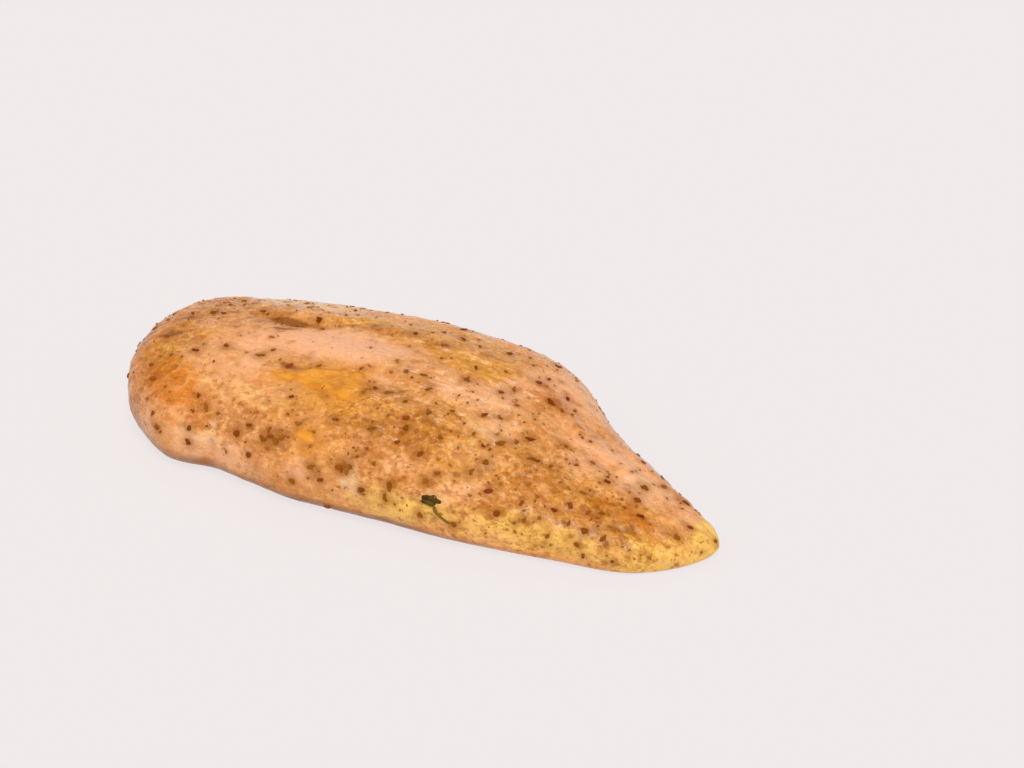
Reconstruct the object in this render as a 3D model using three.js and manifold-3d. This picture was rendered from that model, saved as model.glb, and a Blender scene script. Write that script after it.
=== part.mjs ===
// A raw chicken breast fillet without skin, oiled and sprinkled with dried herbs, pepper and chilli flakes.
// It lies on its flat underside. Millimetres: +X runs from the thick shoulder to the thin tip, -Y is the straight
// edge that lay along the breastbone, and +Z is up. The origin is on the surface that the fillet lies on, under
// the middle of the fillet's box.
import * as THREE from "three";
import { mergeVertices } from "three/addons/utils/BufferGeometryUtils.js";
import Module from "manifold-3d";

// Driving dimensions
const LENGTH = 186;
const WIDTH = 84;
const THICKNESS = 28;

// Cross sections from the shoulder to the tip. Each gives where it meets the near edge and the far edge, along
// the length from 0 to 1 and across the width from -0.5 to 0.5, and how high its rim and its crest lie, as
// shares of the thickness.
const SECTIONS = [
  { near: [0.004, -0.001], far: [0.004, -0.001], rim: 0.36, crest: 0.36 },
  { near: [0.056, -0.313], far: [0.04, 0.245], rim: 0.31, crest: 0.78 },
  { near: [0.172, -0.477], far: [0.148, 0.393], rim: 0.26, crest: 0.9 },
  { near: [0.318, -0.494], far: [0.302, 0.467], rim: 0.22, crest: 0.98 },
  { near: [0.48, -0.492], far: [0.47, 0.509], rim: 0.2, crest: 1 },
  { near: [0.646, -0.461], far: [0.643, 0.472], rim: 0.17, crest: 0.88 },
  { near: [0.797, -0.394], far: [0.772, 0.237], rim: 0.14, crest: 0.63 },
  { near: [0.918, -0.315], far: [0.9, 0.075], rim: 0.1, crest: 0.4 },
  { near: [0.996, -0.095], far: [0.996, -0.095], rim: 0.09, crest: 0.09 },
];
const LAST = SECTIONS.length - 1;

// A section's upper line rises from each rim as a power of the sine: steep and full at the near edge, easier at
// the far one. Its underside lies flat past the FOOT share of the sine.
const NEAR_FULLNESS = 0.62;
const FAR_FULLNESS = 0.85;
const FOOT = 0.6;
const BLUNT_END_RISE = 0.3 * THICKNESS;

// Places along the near edge where it bulges or draws in, in millimetres
const EDGE_SWELLS = [
  { along: -58, reach: 9, out: 1.4 },
  { along: -44, reach: 8, out: -1.3 },
  { along: -17, reach: 10, out: 1.2 },
  { along: 12, reach: 9, out: -0.5 },
];

// The fold beside the shoulder: a crease in the upper face, which bends away from the near edge on both sides of
// its middle, with a low roll of muscle beyond it
const FOLD = { start: -60, end: -26, middle: -49, across: 4.4, bend: 0.0165, depth: 0.75, reach: 2 };
const ROLL = { beyond: 6.5, height: 0.45, reach: 5 };
const FOLD_FADE = 8;

// Shallow hollows where the oil pools: middle, half sizes, turn in degrees and depth
const POOLS = [
  { along: -17, across: -17, half: [16, 5], turn: 20, depth: 0.9 },
  { along: -57, across: -34, half: [11, 4.5], turn: -24, depth: 0.6 },
  { along: -16, across: -36, half: [4, 3], turn: 0, depth: 0.5 },
];

// Low furrows between the bundles of muscle, which fan out from the tip and end before the shoulder
const FURROWS = { count: 5, depth: 0.35, wander: 0.7, wave: 31, start: -88, full: -40 };

// How thickly the seasoning lies: an even share and zones with more or less of it
const SEASONING = 0.42;
const SEASONING_ZONES = [
  { along: 28, across: -23, reach: [44, 17], more: 0.55 },
  { along: 64, across: -22, reach: [20, 12], more: 0.25 },
  { along: -64, across: 12, reach: [20, 11], more: 0.4 },
  { along: -42, across: -20, reach: [22, 13], more: -0.34 },
  { along: -22, across: -2, reach: [22, 9], more: -0.42 },
  { along: 54, across: 2, reach: [17, 11], more: -0.26 },
];

// Scattered flakes, largest first, and the spacing that keeps them apart
const FLAKES = 122;
const FLAKE_LENGTH = [1.5, 3];
const FLAKE_SLIMNESS = [0.45, 0.8];
const FLAKE_HEIGHT = 0.95;
const FLAKE_SUNK = 0.12;
const FLAKE_SPACING = 3.4;
const FLAKE_SEED = 90210;
const LOWEST_SEAT = 1.5;
const HIGHEST_SEAT = 177;

// The flakes that stand out, some of them lying in clumps: along the fillet in millimetres, degrees round the
// section from the near rim over the crest, length and width in millimetres, and the turn in degrees
const NOTABLE_FLAKES = [
  [-69, 35, 2.4, 1.6, 30],
  [-87, 45, 1.8, 1.3, 80],
  [-85, 72, 2.4, 1.4, 35],
  [-76, 67, 2, 1.6, 20],
  [-63, 66, 3, 1.3, 10],
  [-61, 5, 2.4, 1.6, 20],
  [-50, 12, 1.8, 1.5, 30],
  [-47, 28, 2.8, 1.4, 110],
  [-51, 36, 2, 1, 110],
  [-35, 17, 2.6, 2.2, 50],
  [-32, 25, 2, 1.4, 20],
  [-30, 7, 1.9, 1.8, 40],
  [-43, 69, 2.6, 1.2, 30],
  [-25, 50, 1.6, 1.5, 0],
  [-10, 12, 3, 1.4, 25],
  [-7, 6, 2.2, 1.4, 20],
  [5, 7, 2.4, 1.7, 20],
  [-52, 102, 4.6, 1.4, 15],
  [-44, 96, 3.6, 1.3, 15],
  [-72, 100, 2.6, 2.2, 60],
  [8, 55, 2.2, 1.8, 30],
  [2, 44, 3.4, 1.1, 30],
  [-1, 66, 3.4, 1.4, 35],
  [0, 105, 3.4, 1.2, 30],
  [17, 39, 2.8, 1.6, 110],
  [24, 31, 1.9, 1.8, 30],
  [22, 24, 2.6, 1.4, 25],
  [34, 62, 3.4, 2, 50],
  [38, 32, 2.4, 1.6, 20],
  [42, 17, 2.2, 1.9, 40],
  [31.4, 3, 1.9, 1.5, 100],
  [36, 102, 3.4, 2, 5],
  [39, 75, 3.4, 1.4, 30],
  [43, 64, 3.8, 1.4, 30],
  [64, 28, 2.5, 1.9, 20],
  [71, 81, 2.4, 2, 40],
  [74, 67, 2.4, 1.8, 30],
  [26, 136, 2.2, 2, 0],
  [85, 87, 2, 1.4, 30],
  [47, 32, 1.9, 1.3, 90],
  [-5.5, -9, 2.6, 1.6, 10],
  [-26, 20, 2.8, 1.7, 160],
  [-24, 23, 2.5, 1.5, 20],
  [-22, 21, 2.8, 1.8, 140],
  [-20.3, 25, 2.4, 1.3, 30],
  [-25.3, 26, 1.9, 1.2, 80],
  [-2.2, 16, 2.4, 1.5, 20],
  [-0.6, 17.5, 2.6, 1.6, 35],
  [0.9, 18.5, 2, 1.3, 150],
  [0.2, 14, 1.8, 1.2, 80],
];

// The scrap of green leaf at the near edge and the stalk that hangs from it
const LEAF = { along: 24.6, round: 13, length: 5, width: 3, turn: 10 };
const STALK = { from: [25.8, 9.5], to: [30.4, 3], radius: 0.45, sides: 6 };

// How finely the fillet is divided
const RINGS = 52;
const ROUND = 56;

const RADIANS = Math.PI / 180;
const OUTLINE = loop((section, side) => [
  section[side][0] * LENGTH - LENGTH / 2,
  section[side][1] * WIDTH,
]);
const HEIGHTS = loop((section, side) => [
  section.rim * THICKNESS,
  (section.crest - section.rim) * THICKNESS * (side === "near" ? 1 : -1),
]);

// A smooth closed curve through one pair of values for each section: out along the near side, back along the far.
function loop(valuesOf) {
  const out = SECTIONS.map((section) => valuesOf(section, "near"));
  const back = SECTIONS.slice(1, LAST).reverse().map((section) => valuesOf(section, "far"));
  const points = [...out, ...back].map(([a, b]) => new THREE.Vector3(a, b, 0));
  return new THREE.CatmullRomCurve3(points, true, "catmullrom", 0.5);
}

function bump(distance, reach) {
  return Math.exp(-((distance / reach) ** 2));
}

function mix(low, high, share) {
  return low + (high - low) * share;
}

// The crease beside the shoulder and its roll fade out at both ends of the fold.
function foldRelief(x, y) {
  const fadeIn = THREE.MathUtils.smoothstep(x, FOLD.start - FOLD_FADE, FOLD.start + FOLD_FADE);
  const fadeOut = 1 - THREE.MathUtils.smoothstep(x, FOLD.end - FOLD_FADE, FOLD.end + FOLD_FADE);
  const crease = y - FOLD.across - FOLD.bend * (x - FOLD.middle) ** 2;
  const shape = ROLL.height * bump(crease - ROLL.beyond, ROLL.reach) - FOLD.depth * bump(crease, FOLD.reach);
  return fadeIn * fadeOut * shape;
}

function poolRelief(x, y) {
  let dip = 0;
  for (const { along, across, half, turn, depth } of POOLS) {
    const cosine = Math.cos(turn * RADIANS);
    const sine = Math.sin(turn * RADIANS);
    const lengthwise = (x - along) * cosine + (y - across) * sine;
    const sideways = (y - across) * cosine - (x - along) * sine;
    dip -= depth * bump(lengthwise, half[0]) * bump(sideways, half[1]);
  }
  return dip;
}

function furrowRelief(x, share) {
  const wander = FURROWS.wander * Math.sin(x / FURROWS.wave);
  const fade = THREE.MathUtils.smoothstep(x, FURROWS.start, FURROWS.full);
  return FURROWS.depth * fade * Math.sin(2 * Math.PI * FURROWS.count * share + wander);
}

// A point of the fillet: the station runs from 0 at the shoulder to LAST at the tip, and the angle goes round the
// section from the near rim over the crest and back along the underside.
function surfacePoint(station, angle) {
  const near = OUTLINE.getPoint(station / (2 * LAST));
  const far = OUTLINE.getPoint(1 - station / (2 * LAST));
  for (const { along, reach, out } of EDGE_SWELLS) near.y -= out * bump(near.x - along, reach);
  const heights = HEIGHTS.getPoint(station / (2 * LAST));
  const rim = heights.x;
  const rise = Math.max(heights.y, 0);
  const share = (1 - Math.cos(angle)) / 2;
  const sine = Math.abs(Math.sin(angle));
  const point = near.lerp(far, share);
  if (Math.sin(angle) >= 0) {
    const relief = foldRelief(point.x, point.y) + poolRelief(point.x, point.y) + furrowRelief(point.x, share);
    const fade = Math.min(rise / BLUNT_END_RISE, 1) * sine ** 0.8;
    point.z = rim + rise * sine ** mix(NEAR_FULLNESS, FAR_FULLNESS, share) + relief * fade;
    return point;
  }
  const blunt = Math.sin((Math.PI / 2) * Math.min(rise / BLUNT_END_RISE, 1));
  const drop = blunt * Math.sin((Math.PI / 2) * Math.min(sine / FOOT, 1));
  point.z = rim * (1 - drop);
  return point;
}

// Where a flake lies: the point, and the directions along the fillet, round the section and out of the surface
function seat(station, angle) {
  const step = 0.01;
  const point = surfacePoint(station, angle);
  const along = surfacePoint(station + step, angle).sub(point).divideScalar(step);
  const round = surfacePoint(station, angle + step).sub(point).divideScalar(step);
  const out = new THREE.Vector3().crossVectors(along, round);
  const area = out.length();
  return { point, area, along: along.normalize(), out: out.normalize() };
}

// The station where the surface at this angle lies this far along the fillet
function stationAt(along, angle) {
  let low = 0;
  let high = LAST;
  for (let step = 0; step < 40; step += 1) {
    const middle = (low + high) / 2;
    if (surfacePoint(middle, angle).x < along) low = middle;
    else high = middle;
  }
  return (low + high) / 2;
}

function seatAt(along, degrees) {
  const angle = degrees * RADIANS;
  return seat(stationAt(along, angle), angle);
}

function seasoningAt(point) {
  let amount = SEASONING;
  for (const { along, across, reach, more } of SEASONING_ZONES) {
    amount += more * bump(point.x - along, reach[0]) * bump(point.y - across, reach[1]);
  }
  return THREE.MathUtils.clamp(amount, 0.04, 1);
}

// A chip lying on the surface, a little sunk into it
function flake(place, length, width, turn) {
  const lengthwise = place.along.clone().applyAxisAngle(place.out, turn * RADIANS);
  const sideways = new THREE.Vector3().crossVectors(place.out, lengthwise);
  const lay = new THREE.Matrix4().makeBasis(lengthwise, sideways, place.out);
  lay.setPosition(place.point.clone().addScaledVector(place.out, -FLAKE_SUNK * FLAKE_HEIGHT));
  return new THREE.IcosahedronGeometry(1, 0)
    .scale(length / 2, width / 2, FLAKE_HEIGHT / 2)
    .applyMatrix4(lay);
}

function notableFlakes() {
  return NOTABLE_FLAKES.map(([along, degrees, length, width, turn]) => ({
    place: seatAt(along, degrees),
    length,
    width,
    turn,
  }));
}

// Seeded random draws from 0 to 1
function drawsFrom(seed) {
  let state = seed;
  return () => {
    state = (state * 48271) % 2147483647;
    return state / 2147483647;
  };
}

// Flakes by rule: even over the surface, thinned where the seasoning lies thinly, clear of the ones before them
function scatteredFlakes(taken) {
  const largestArea = 1500;
  const draw = drawsFrom(FLAKE_SEED);
  const flakes = [];
  while (flakes.length < FLAKES) {
    const [station, angle, luck, slimness, turn] = Array.from({ length: 5 }, draw);
    const place = seat(station * LAST, mix(LOWEST_SEAT, HIGHEST_SEAT, angle) * RADIANS);
    const chance = (place.area / largestArea) * seasoningAt(place.point);
    const crowded = [...taken, ...flakes].some((one) => one.place.point.distanceTo(place.point) < FLAKE_SPACING);
    if (luck > chance || crowded) continue;
    const length = mix(FLAKE_LENGTH[1], FLAKE_LENGTH[0], Math.sqrt(flakes.length / FLAKES));
    const width = length * mix(FLAKE_SLIMNESS[0], FLAKE_SLIMNESS[1], slimness);
    flakes.push({ place, length, width, turn: turn * 180 });
  }
  return flakes;
}

function stalk() {
  const start = seatAt(...STALK.from).point;
  const end = seatAt(...STALK.to).point;
  const direction = end.clone().sub(start);
  const upright = new THREE.Vector3(0, 1, 0);
  const turn = new THREE.Quaternion().setFromUnitVectors(upright, direction.clone().normalize());
  const middle = start.clone().lerp(end, 0.5);
  return new THREE.CylinderGeometry(STALK.radius, STALK.radius, direction.length(), STALK.sides)
    .applyQuaternion(turn)
    .translate(middle.x, middle.y, middle.z);
}

// The bare fillet: a sphere whose rings become the sections
function fleshGeometry() {
  const geometry = new THREE.SphereGeometry(1, ROUND, RINGS);
  const position = geometry.getAttribute("position");
  const uv = geometry.getAttribute("uv");
  for (let index = 0; index < position.count; index += 1) {
    const point = surfacePoint((1 - uv.getY(index)) * LAST, uv.getX(index) * 2 * Math.PI);
    position.setXYZ(index, point.x, point.y, point.z);
  }
  return geometry;
}

const wasm = await Module();
wasm.setup();

// A closed geometry as a solid, and back
function solidOf(geometry) {
  const bare = geometry.clone();
  bare.deleteAttribute("normal");
  bare.deleteAttribute("uv");
  const merged = mergeVertices(bare, 1e-4);
  const vertProperties = merged.getAttribute("position").array;
  const triVerts = new Uint32Array(merged.index.array);
  return new wasm.Manifold(new wasm.Mesh({ numProp: 3, vertProperties, triVerts }));
}

function geometryOf(solid) {
  const { vertProperties, triVerts } = solid.getMesh();
  const geometry = new THREE.BufferGeometry();
  geometry.setAttribute("position", new THREE.BufferAttribute(vertProperties, 3));
  geometry.setIndex(new THREE.BufferAttribute(triVerts, 1));
  return geometry;
}

function filletGeometry() {
  const notable = notableFlakes();
  const leaf = { place: seatAt(LEAF.along, LEAF.round), length: LEAF.length, width: LEAF.width, turn: LEAF.turn };
  const standing = [...notable, leaf];
  const flakes = [...standing, ...scatteredFlakes(standing)];
  const chips = flakes.map(({ place, length, width, turn }) => flake(place, length, width, turn));
  const solid = [...chips, stalk()].reduce((whole, chip) => whole.add(solidOf(chip)), solidOf(fleshGeometry()));
  const geometry = geometryOf(solid);
  geometry.computeBoundingBox();
  const middle = geometry.boundingBox.getCenter(new THREE.Vector3());
  return geometry.translate(-middle.x, -middle.y, -geometry.boundingBox.min.z);
}

const chicken = new THREE.MeshStandardMaterial({ color: 0xdb9558, roughness: 0.35, metalness: 0 });

const part = new THREE.Group();
const fillet = new THREE.Mesh(filletGeometry(), chicken);
fillet.name = "fillet";
part.add(fillet);

export default part;
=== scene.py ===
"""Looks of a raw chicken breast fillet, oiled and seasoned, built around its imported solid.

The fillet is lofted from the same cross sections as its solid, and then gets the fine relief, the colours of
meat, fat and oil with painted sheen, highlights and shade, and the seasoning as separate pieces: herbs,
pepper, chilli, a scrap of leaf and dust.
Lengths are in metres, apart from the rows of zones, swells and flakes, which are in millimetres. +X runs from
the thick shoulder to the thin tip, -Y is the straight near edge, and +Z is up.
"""

import logging
import math
from collections.abc import Sequence
from dataclasses import dataclass, field
from enum import Enum

import bmesh
import bpy
import numpy as np
from mathutils import Matrix, Vector, noise


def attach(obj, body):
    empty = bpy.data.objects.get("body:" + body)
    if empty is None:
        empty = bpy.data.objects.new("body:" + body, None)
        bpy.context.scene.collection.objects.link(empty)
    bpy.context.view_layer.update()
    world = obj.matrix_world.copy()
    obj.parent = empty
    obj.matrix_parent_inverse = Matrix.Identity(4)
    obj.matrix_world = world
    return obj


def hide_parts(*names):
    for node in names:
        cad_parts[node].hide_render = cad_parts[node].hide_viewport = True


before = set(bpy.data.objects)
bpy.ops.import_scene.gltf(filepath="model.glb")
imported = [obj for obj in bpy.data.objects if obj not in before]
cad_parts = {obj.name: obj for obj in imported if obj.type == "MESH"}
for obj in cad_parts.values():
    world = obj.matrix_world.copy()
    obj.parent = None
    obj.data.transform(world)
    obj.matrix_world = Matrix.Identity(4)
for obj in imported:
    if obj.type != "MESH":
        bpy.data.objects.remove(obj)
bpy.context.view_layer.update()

MM = 0.001
LOG = logging.getLogger("fillet")

Colour = tuple[float, float, float]

SCREEN_KNEE = 0.04045
SCREEN_SLOPE = 12.92
SCREEN_LIFT = 0.055
SCREEN_POWER = 2.4
DRAW_FACTOR = 48271
DRAW_RANGE = 2147483647


def smoothstep(value: np.ndarray, low: float, high: float) -> np.ndarray:
    """Fade from 0 at low to 1 at high.

    Args:
        value: The numbers to fade.
        low: Where the fade starts.
        high: Where the fade is complete.

    Returns:
        The faded numbers.
    """
    share = np.clip((value - low) / (high - low), 0, 1)
    return share * share * (3 - 2 * share)


def bump(distance: np.ndarray, reach: float) -> np.ndarray:
    """A soft bump: 1 at the middle, falling away over its reach."""
    return np.exp(-((distance / reach) ** 2))


def linear(red: int, green: int, blue: int) -> Colour:
    """A colour as the screen shows it, 0 to 255, as the light that a shader takes.

    Args:
        red: Red share.
        green: Green share.
        blue: Blue share.

    Returns:
        The three linear shares, 0 to 1.
    """
    shares = []
    for value in (red, green, blue):
        share = value / 255
        curved = ((share + SCREEN_LIFT) / (1 + SCREEN_LIFT)) ** SCREEN_POWER
        shares.append(share / SCREEN_SLOPE if share <= SCREEN_KNEE else curved)
    return shares[0], shares[1], shares[2]


@dataclass(frozen=True)
class Section:
    """A cross section, in shares of the form: its two edges, and the heights of its rim and crest."""

    near: tuple[float, float]
    far: tuple[float, float]
    rim: float
    crest: float


@dataclass(frozen=True)
class Zone:
    """A soft patch on the fillet, at any height or about one height.

    The middle and the reach are in millimetres along and across, the turn is in degrees about the upright,
    and the height is the middle and the reach upwards, in millimetres.
    """

    at: tuple[float, float]
    reach: tuple[float, float]
    amount: float
    turn: float = 0.0
    height: tuple[float, float] | None = None

    def strength(self, points: np.ndarray) -> np.ndarray:
        """How strongly the patch shows at each point.

        Args:
            points: Points in metres, one a row.

        Returns:
            The amount times a soft bump, one number a point.
        """
        x, y = points[..., 0] / MM - self.at[0], points[..., 1] / MM - self.at[1]
        cosine, sine = math.cos(math.radians(self.turn)), math.sin(math.radians(self.turn))
        lengthwise, sideways = x * cosine + y * sine, y * cosine - x * sine
        soft = bump(lengthwise, self.reach[0]) * bump(sideways, self.reach[1])
        if self.height:
            soft = soft * bump(points[..., 2] / MM - self.height[0], self.height[1])
        return self.amount * soft


def zone_sum(zones: tuple[Zone, ...], points: np.ndarray, base: float | np.ndarray = 0.0) -> np.ndarray:
    """The summed strength of several zones, held between 0 and 1.

    Args:
        zones: The soft patches.
        points: Points in metres, one a row.
        base: The strength away from every patch.

    Returns:
        One number a point.
    """
    total = np.zeros(points.shape[:-1]) + base
    for zone in zones:
        total = total + zone.strength(points)
    return np.clip(total, 0, 1)


@dataclass(frozen=True)
class Seat:
    """A place on the fillet: the point, the direction along the fillet, and the direction out of it."""

    point: Vector
    along: Vector
    out: Vector

    def lay(self, turn: float, lift: float = 0.0) -> Matrix:
        """The frame of a thing that lies here.

        Args:
            turn: Degrees about the outward direction.
            lift: How far its middle stands out of the surface.

        Returns:
            A matrix whose X runs lengthwise and whose Z points out.
        """
        lengthwise = Matrix.Rotation(math.radians(turn), 3, self.out) @ self.along
        sideways = self.out.cross(lengthwise)
        axes = Matrix((lengthwise, sideways, self.out)).transposed().to_4x4()
        axes.translation = self.point + self.out * lift
        return axes


@dataclass
class Form:
    """The lofted form that the fillet shares with its solid.

    A station runs from 0 at the shoulder to the last section at the tip. An angle goes round a section from
    the near rim, over the crest to the far rim, and back along the underside. A swell of the near edge is
    given by its place along, its reach and how far it stands out, in millimetres.
    """

    length: float = 186 * MM
    width: float = 84 * MM
    thickness: float = 28 * MM
    sections: tuple[Section, ...] = (
        Section((0.004, -0.001), (0.004, -0.001), 0.36, 0.36),
        Section((0.056, -0.313), (0.04, 0.245), 0.31, 0.78),
        Section((0.172, -0.477), (0.148, 0.393), 0.26, 0.9),
        Section((0.318, -0.494), (0.302, 0.467), 0.22, 0.98),
        Section((0.48, -0.492), (0.47, 0.509), 0.2, 1),
        Section((0.646, -0.461), (0.643, 0.472), 0.17, 0.88),
        Section((0.797, -0.394), (0.772, 0.237), 0.14, 0.63),
        Section((0.918, -0.315), (0.9, 0.075), 0.1, 0.4),
        Section((0.996, -0.095), (0.996, -0.095), 0.09, 0.09),
    )
    near_fullness: float = 0.62
    far_fullness: float = 0.85
    foot: float = 0.6
    blunt_share: float = 0.3
    relief_fullness: float = 0.8
    edge_swells: tuple[tuple[float, float, float], ...] = (
        (-58, 9, 1.4),
        (-44, 8, -1.3),
        (-17, 10, 1.2),
        (12, 9, -0.5),
    )
    fold_start: float = -60 * MM
    fold_end: float = -26 * MM
    fold_fade: float = 8 * MM
    fold_middle: float = -49 * MM
    fold_across: float = 4.4 * MM
    fold_bend: float = 16.5
    fold_depth: float = 0.75 * MM
    fold_reach: float = 2 * MM
    roll_beyond: float = 6.5 * MM
    roll_height: float = 0.45 * MM
    roll_reach: float = 5 * MM
    pools: tuple[Zone, ...] = (
        Zone((-17, -17), (16, 5), 0.9, 20),
        Zone((-57, -34), (11, 4.5), 0.6, -24),
        Zone((-16, -36), (4, 3), 0.5),
    )
    furrow_count: int = 5
    furrow_depth: float = 0.35 * MM
    furrow_wander: float = 0.7
    furrow_wave: float = 31 * MM
    furrow_start: float = -88 * MM
    furrow_full: float = -40 * MM
    outline: np.ndarray = field(init=False)
    heights: np.ndarray = field(init=False)

    def __post_init__(self) -> None:
        """Lays the sections' edges and heights out as two closed loops."""
        near = [(s.near[0] * self.length - self.length / 2, s.near[1] * self.width) for s in self.sections]
        far = [(s.far[0] * self.length - self.length / 2, s.far[1] * self.width) for s in self.sections]
        self.outline = np.array(near + far[-2:0:-1])
        rises = [(s.rim * self.thickness, (s.crest - s.rim) * self.thickness) for s in self.sections]
        self.heights = np.array(rises + [(rim, -rise) for rim, rise in rises[-2:0:-1]])

    @property
    def last(self) -> int:
        """The station of the tip."""
        return len(self.sections) - 1

    @staticmethod
    def on_loop(loop: np.ndarray, turn: np.ndarray) -> np.ndarray:
        """A smooth closed curve through the loop's points.

        Args:
            loop: The points, one a row.
            turn: How far round, 0 to 1.

        Returns:
            The curve's points.
        """
        place = np.asarray(turn, float) * len(loop)
        index = np.floor(place).astype(int)
        share = (place - index)[..., None]
        before, here, after, beyond = (loop[(index + step) % len(loop)] for step in (-1, 0, 1, 2))
        start, end = (after - before) / 2, (beyond - here) / 2
        square, cube = 3 * (after - here) - 2 * start - end, 2 * (here - after) + start + end
        return here + start * share + square * share**2 + cube * share**3

    def fold_line(self, x: np.ndarray, y: np.ndarray) -> np.ndarray:
        """How far beyond the fold's crease each place lies, across the fillet."""
        return y - self.fold_across - self.fold_bend * (x - self.fold_middle) ** 2

    def fold_window(self, x: np.ndarray) -> np.ndarray:
        """The fold's strength along the fillet, 0 to 1."""
        start, end, fade = self.fold_start, self.fold_end, self.fold_fade
        return smoothstep(x, start - fade, start + fade) * (1 - smoothstep(x, end - fade, end + fade))

    def relief(self, points: np.ndarray, share: np.ndarray) -> np.ndarray:
        """The low relief of the upper face: the fold and its roll, the pools and the furrows.

        Args:
            points: Points on the smooth form.
            share: How far across its section each one lies, 0 to 1.

        Returns:
            Heights to add.
        """
        x, y = points[..., 0], points[..., 1]
        beyond = self.fold_line(x, y)
        roll = self.roll_height * bump(beyond - self.roll_beyond, self.roll_reach)
        fold = self.fold_window(x) * (roll - self.fold_depth * bump(beyond, self.fold_reach))
        pools = sum(zone.strength(points) for zone in self.pools) * MM
        fade = smoothstep(x, self.furrow_start, self.furrow_full)
        wander = self.furrow_wander * np.sin(x / self.furrow_wave)
        furrows = self.furrow_depth * fade * np.sin(2 * np.pi * self.furrow_count * share + wander)
        return fold - pools + furrows

    def surface(self, station: np.ndarray, angle: np.ndarray) -> np.ndarray:
        """Points of the fillet.

        Args:
            station: Stations, 0 to last.
            angle: Angles round the section, in radians.

        Returns:
            Points in metres, one a row.
        """
        turn = station / (2 * self.last)
        near, far = self.on_loop(self.outline, turn), self.on_loop(self.outline, 1 - turn)
        for along, reach, out in self.edge_swells:
            near[..., 1] -= out * MM * bump(near[..., 0] / MM - along, reach)
        heights = self.on_loop(self.heights, turn)
        rim, rise = heights[..., 0], np.maximum(heights[..., 1], 0)
        share = (1 - np.cos(angle)) / 2
        sine = np.abs(np.sin(angle))
        points = np.zeros(station.shape + (3,))
        points[..., :2] = near + (far - near) * share[..., None]
        blunt = np.minimum(rise / (self.blunt_share * self.thickness), 1)
        fullness = self.near_fullness + (self.far_fullness - self.near_fullness) * share
        upper = rim + rise * sine**fullness + self.relief(points, share) * blunt * sine**self.relief_fullness
        drop = np.sin(np.pi / 2 * blunt) * np.sin(np.pi / 2 * np.minimum(sine / self.foot, 1))
        points[..., 2] = np.where(np.sin(angle) >= 0, upper, rim * (1 - drop))
        return points

    def seats(self, station: np.ndarray, angle: np.ndarray) -> tuple[np.ndarray, ...]:
        """Points with their directions.

        Args:
            station: Stations, 0 to last.
            angle: Angles round the section, in radians.

        Returns:
            The points, the unit directions along and out, and the area for each unit of station and angle.
        """
        step, tiny = 0.01, 1e-12
        points = self.surface(station, angle)
        along = (self.surface(station + step, angle) - points) / step
        around = (self.surface(station, angle + step) - points) / step
        out = np.cross(along, around)
        area = np.linalg.norm(out, axis=-1)
        along = along / np.maximum(np.linalg.norm(along, axis=-1), tiny)[..., None]
        return points, along, out / np.maximum(area, tiny)[..., None], area

    def seat(self, station: float, angle: float) -> Seat:
        """One place on the form."""
        point, along, out, _ = self.seats(np.array([station]), np.array([angle]))
        return Seat(Vector(point[0]), Vector(along[0]), Vector(out[0]))

    def station_at(self, along: float, angle: float) -> float:
        """Finds the station where the form lies this far along, by halving the range that holds it.

        Args:
            along: The place along the fillet, in metres.
            angle: The angle round the section, in radians.

        Returns:
            The station.
        """
        halvings = 40
        low, high = 0.0, float(self.last)
        for _ in range(halvings):
            middle = (low + high) / 2
            if self.surface(np.array([middle]), np.array([angle]))[0, 0] < along:
                low = middle
            else:
                high = middle
        return (low + high) / 2


@dataclass(frozen=True)
class Swells:
    """Smooth random swells: how far apart along, across and up in millimetres, their pattern and height."""

    apart: tuple[float, float, float]
    seed: float
    height: float = 1.0

    def at(self, points: np.ndarray) -> np.ndarray:
        """The swells at each point.

        Args:
            points: Points in metres, one a row.

        Returns:
            One number a point, about -1 to 1 times the height.
        """
        scaled = points.reshape(-1, 3) / MM / np.array(self.apart) + self.seed
        values = [noise.noise(place) for place in scaled.tolist()]
        return self.height * np.array(values).reshape(points.shape[:-1])


def draws_from(seed: int, rows: int, columns: int) -> np.ndarray:
    """Seeded random draws, 0 to 1.

    Args:
        seed: Picks the draws.
        rows: How many rows.
        columns: How many draws in a row.

    Returns:
        The draws, in the order they were made.
    """
    state = seed
    values = []
    for _ in range(rows * columns):
        state = state * DRAW_FACTOR % DRAW_RANGE
        values.append(state / DRAW_RANGE)
    return np.array(values).reshape(rows, columns)


class Mask(Enum):
    """What a surface carries from place to place, for its finish to read."""

    # pinker flesh, partly painted sheen on the crest and on slopes that face the lamps
    BLUSH_AND_SHEEN = "blush_and_sheen"
    GOLD = "gold"
    # darker spice, and painted shade on the thick end
    BROWN_AND_SHADE = "brown_and_shade"
    OIL = "oil"
    FAT = "fat"
    # paler patches that are painted highlights
    PALE_AND_HIGHLIGHT = "pale"
    # dark seams of spice, with painted shade in the fold and the leaf's painted shadow
    SEAMS_AND_SHADE = "crease"
    # painted shade where the side turns under, and a darker rim round the thick end
    UNDERSIDE_SHADE_AND_RIM = "foot"
    POOL = "pool"
    SPICE = "spice"
    # painted shade in the hollows between the pebbles
    HOLLOW_SHADE = "hollow_shade"
    # pale strands on the ridge tops, partly painted highlight
    RIDGE_STRAND_AND_HIGHLIGHT = "ridge_strand_and_highlight"
    STAIN = "stain"
    DEPTH = "depth"
    SHADE = "shade"


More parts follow.
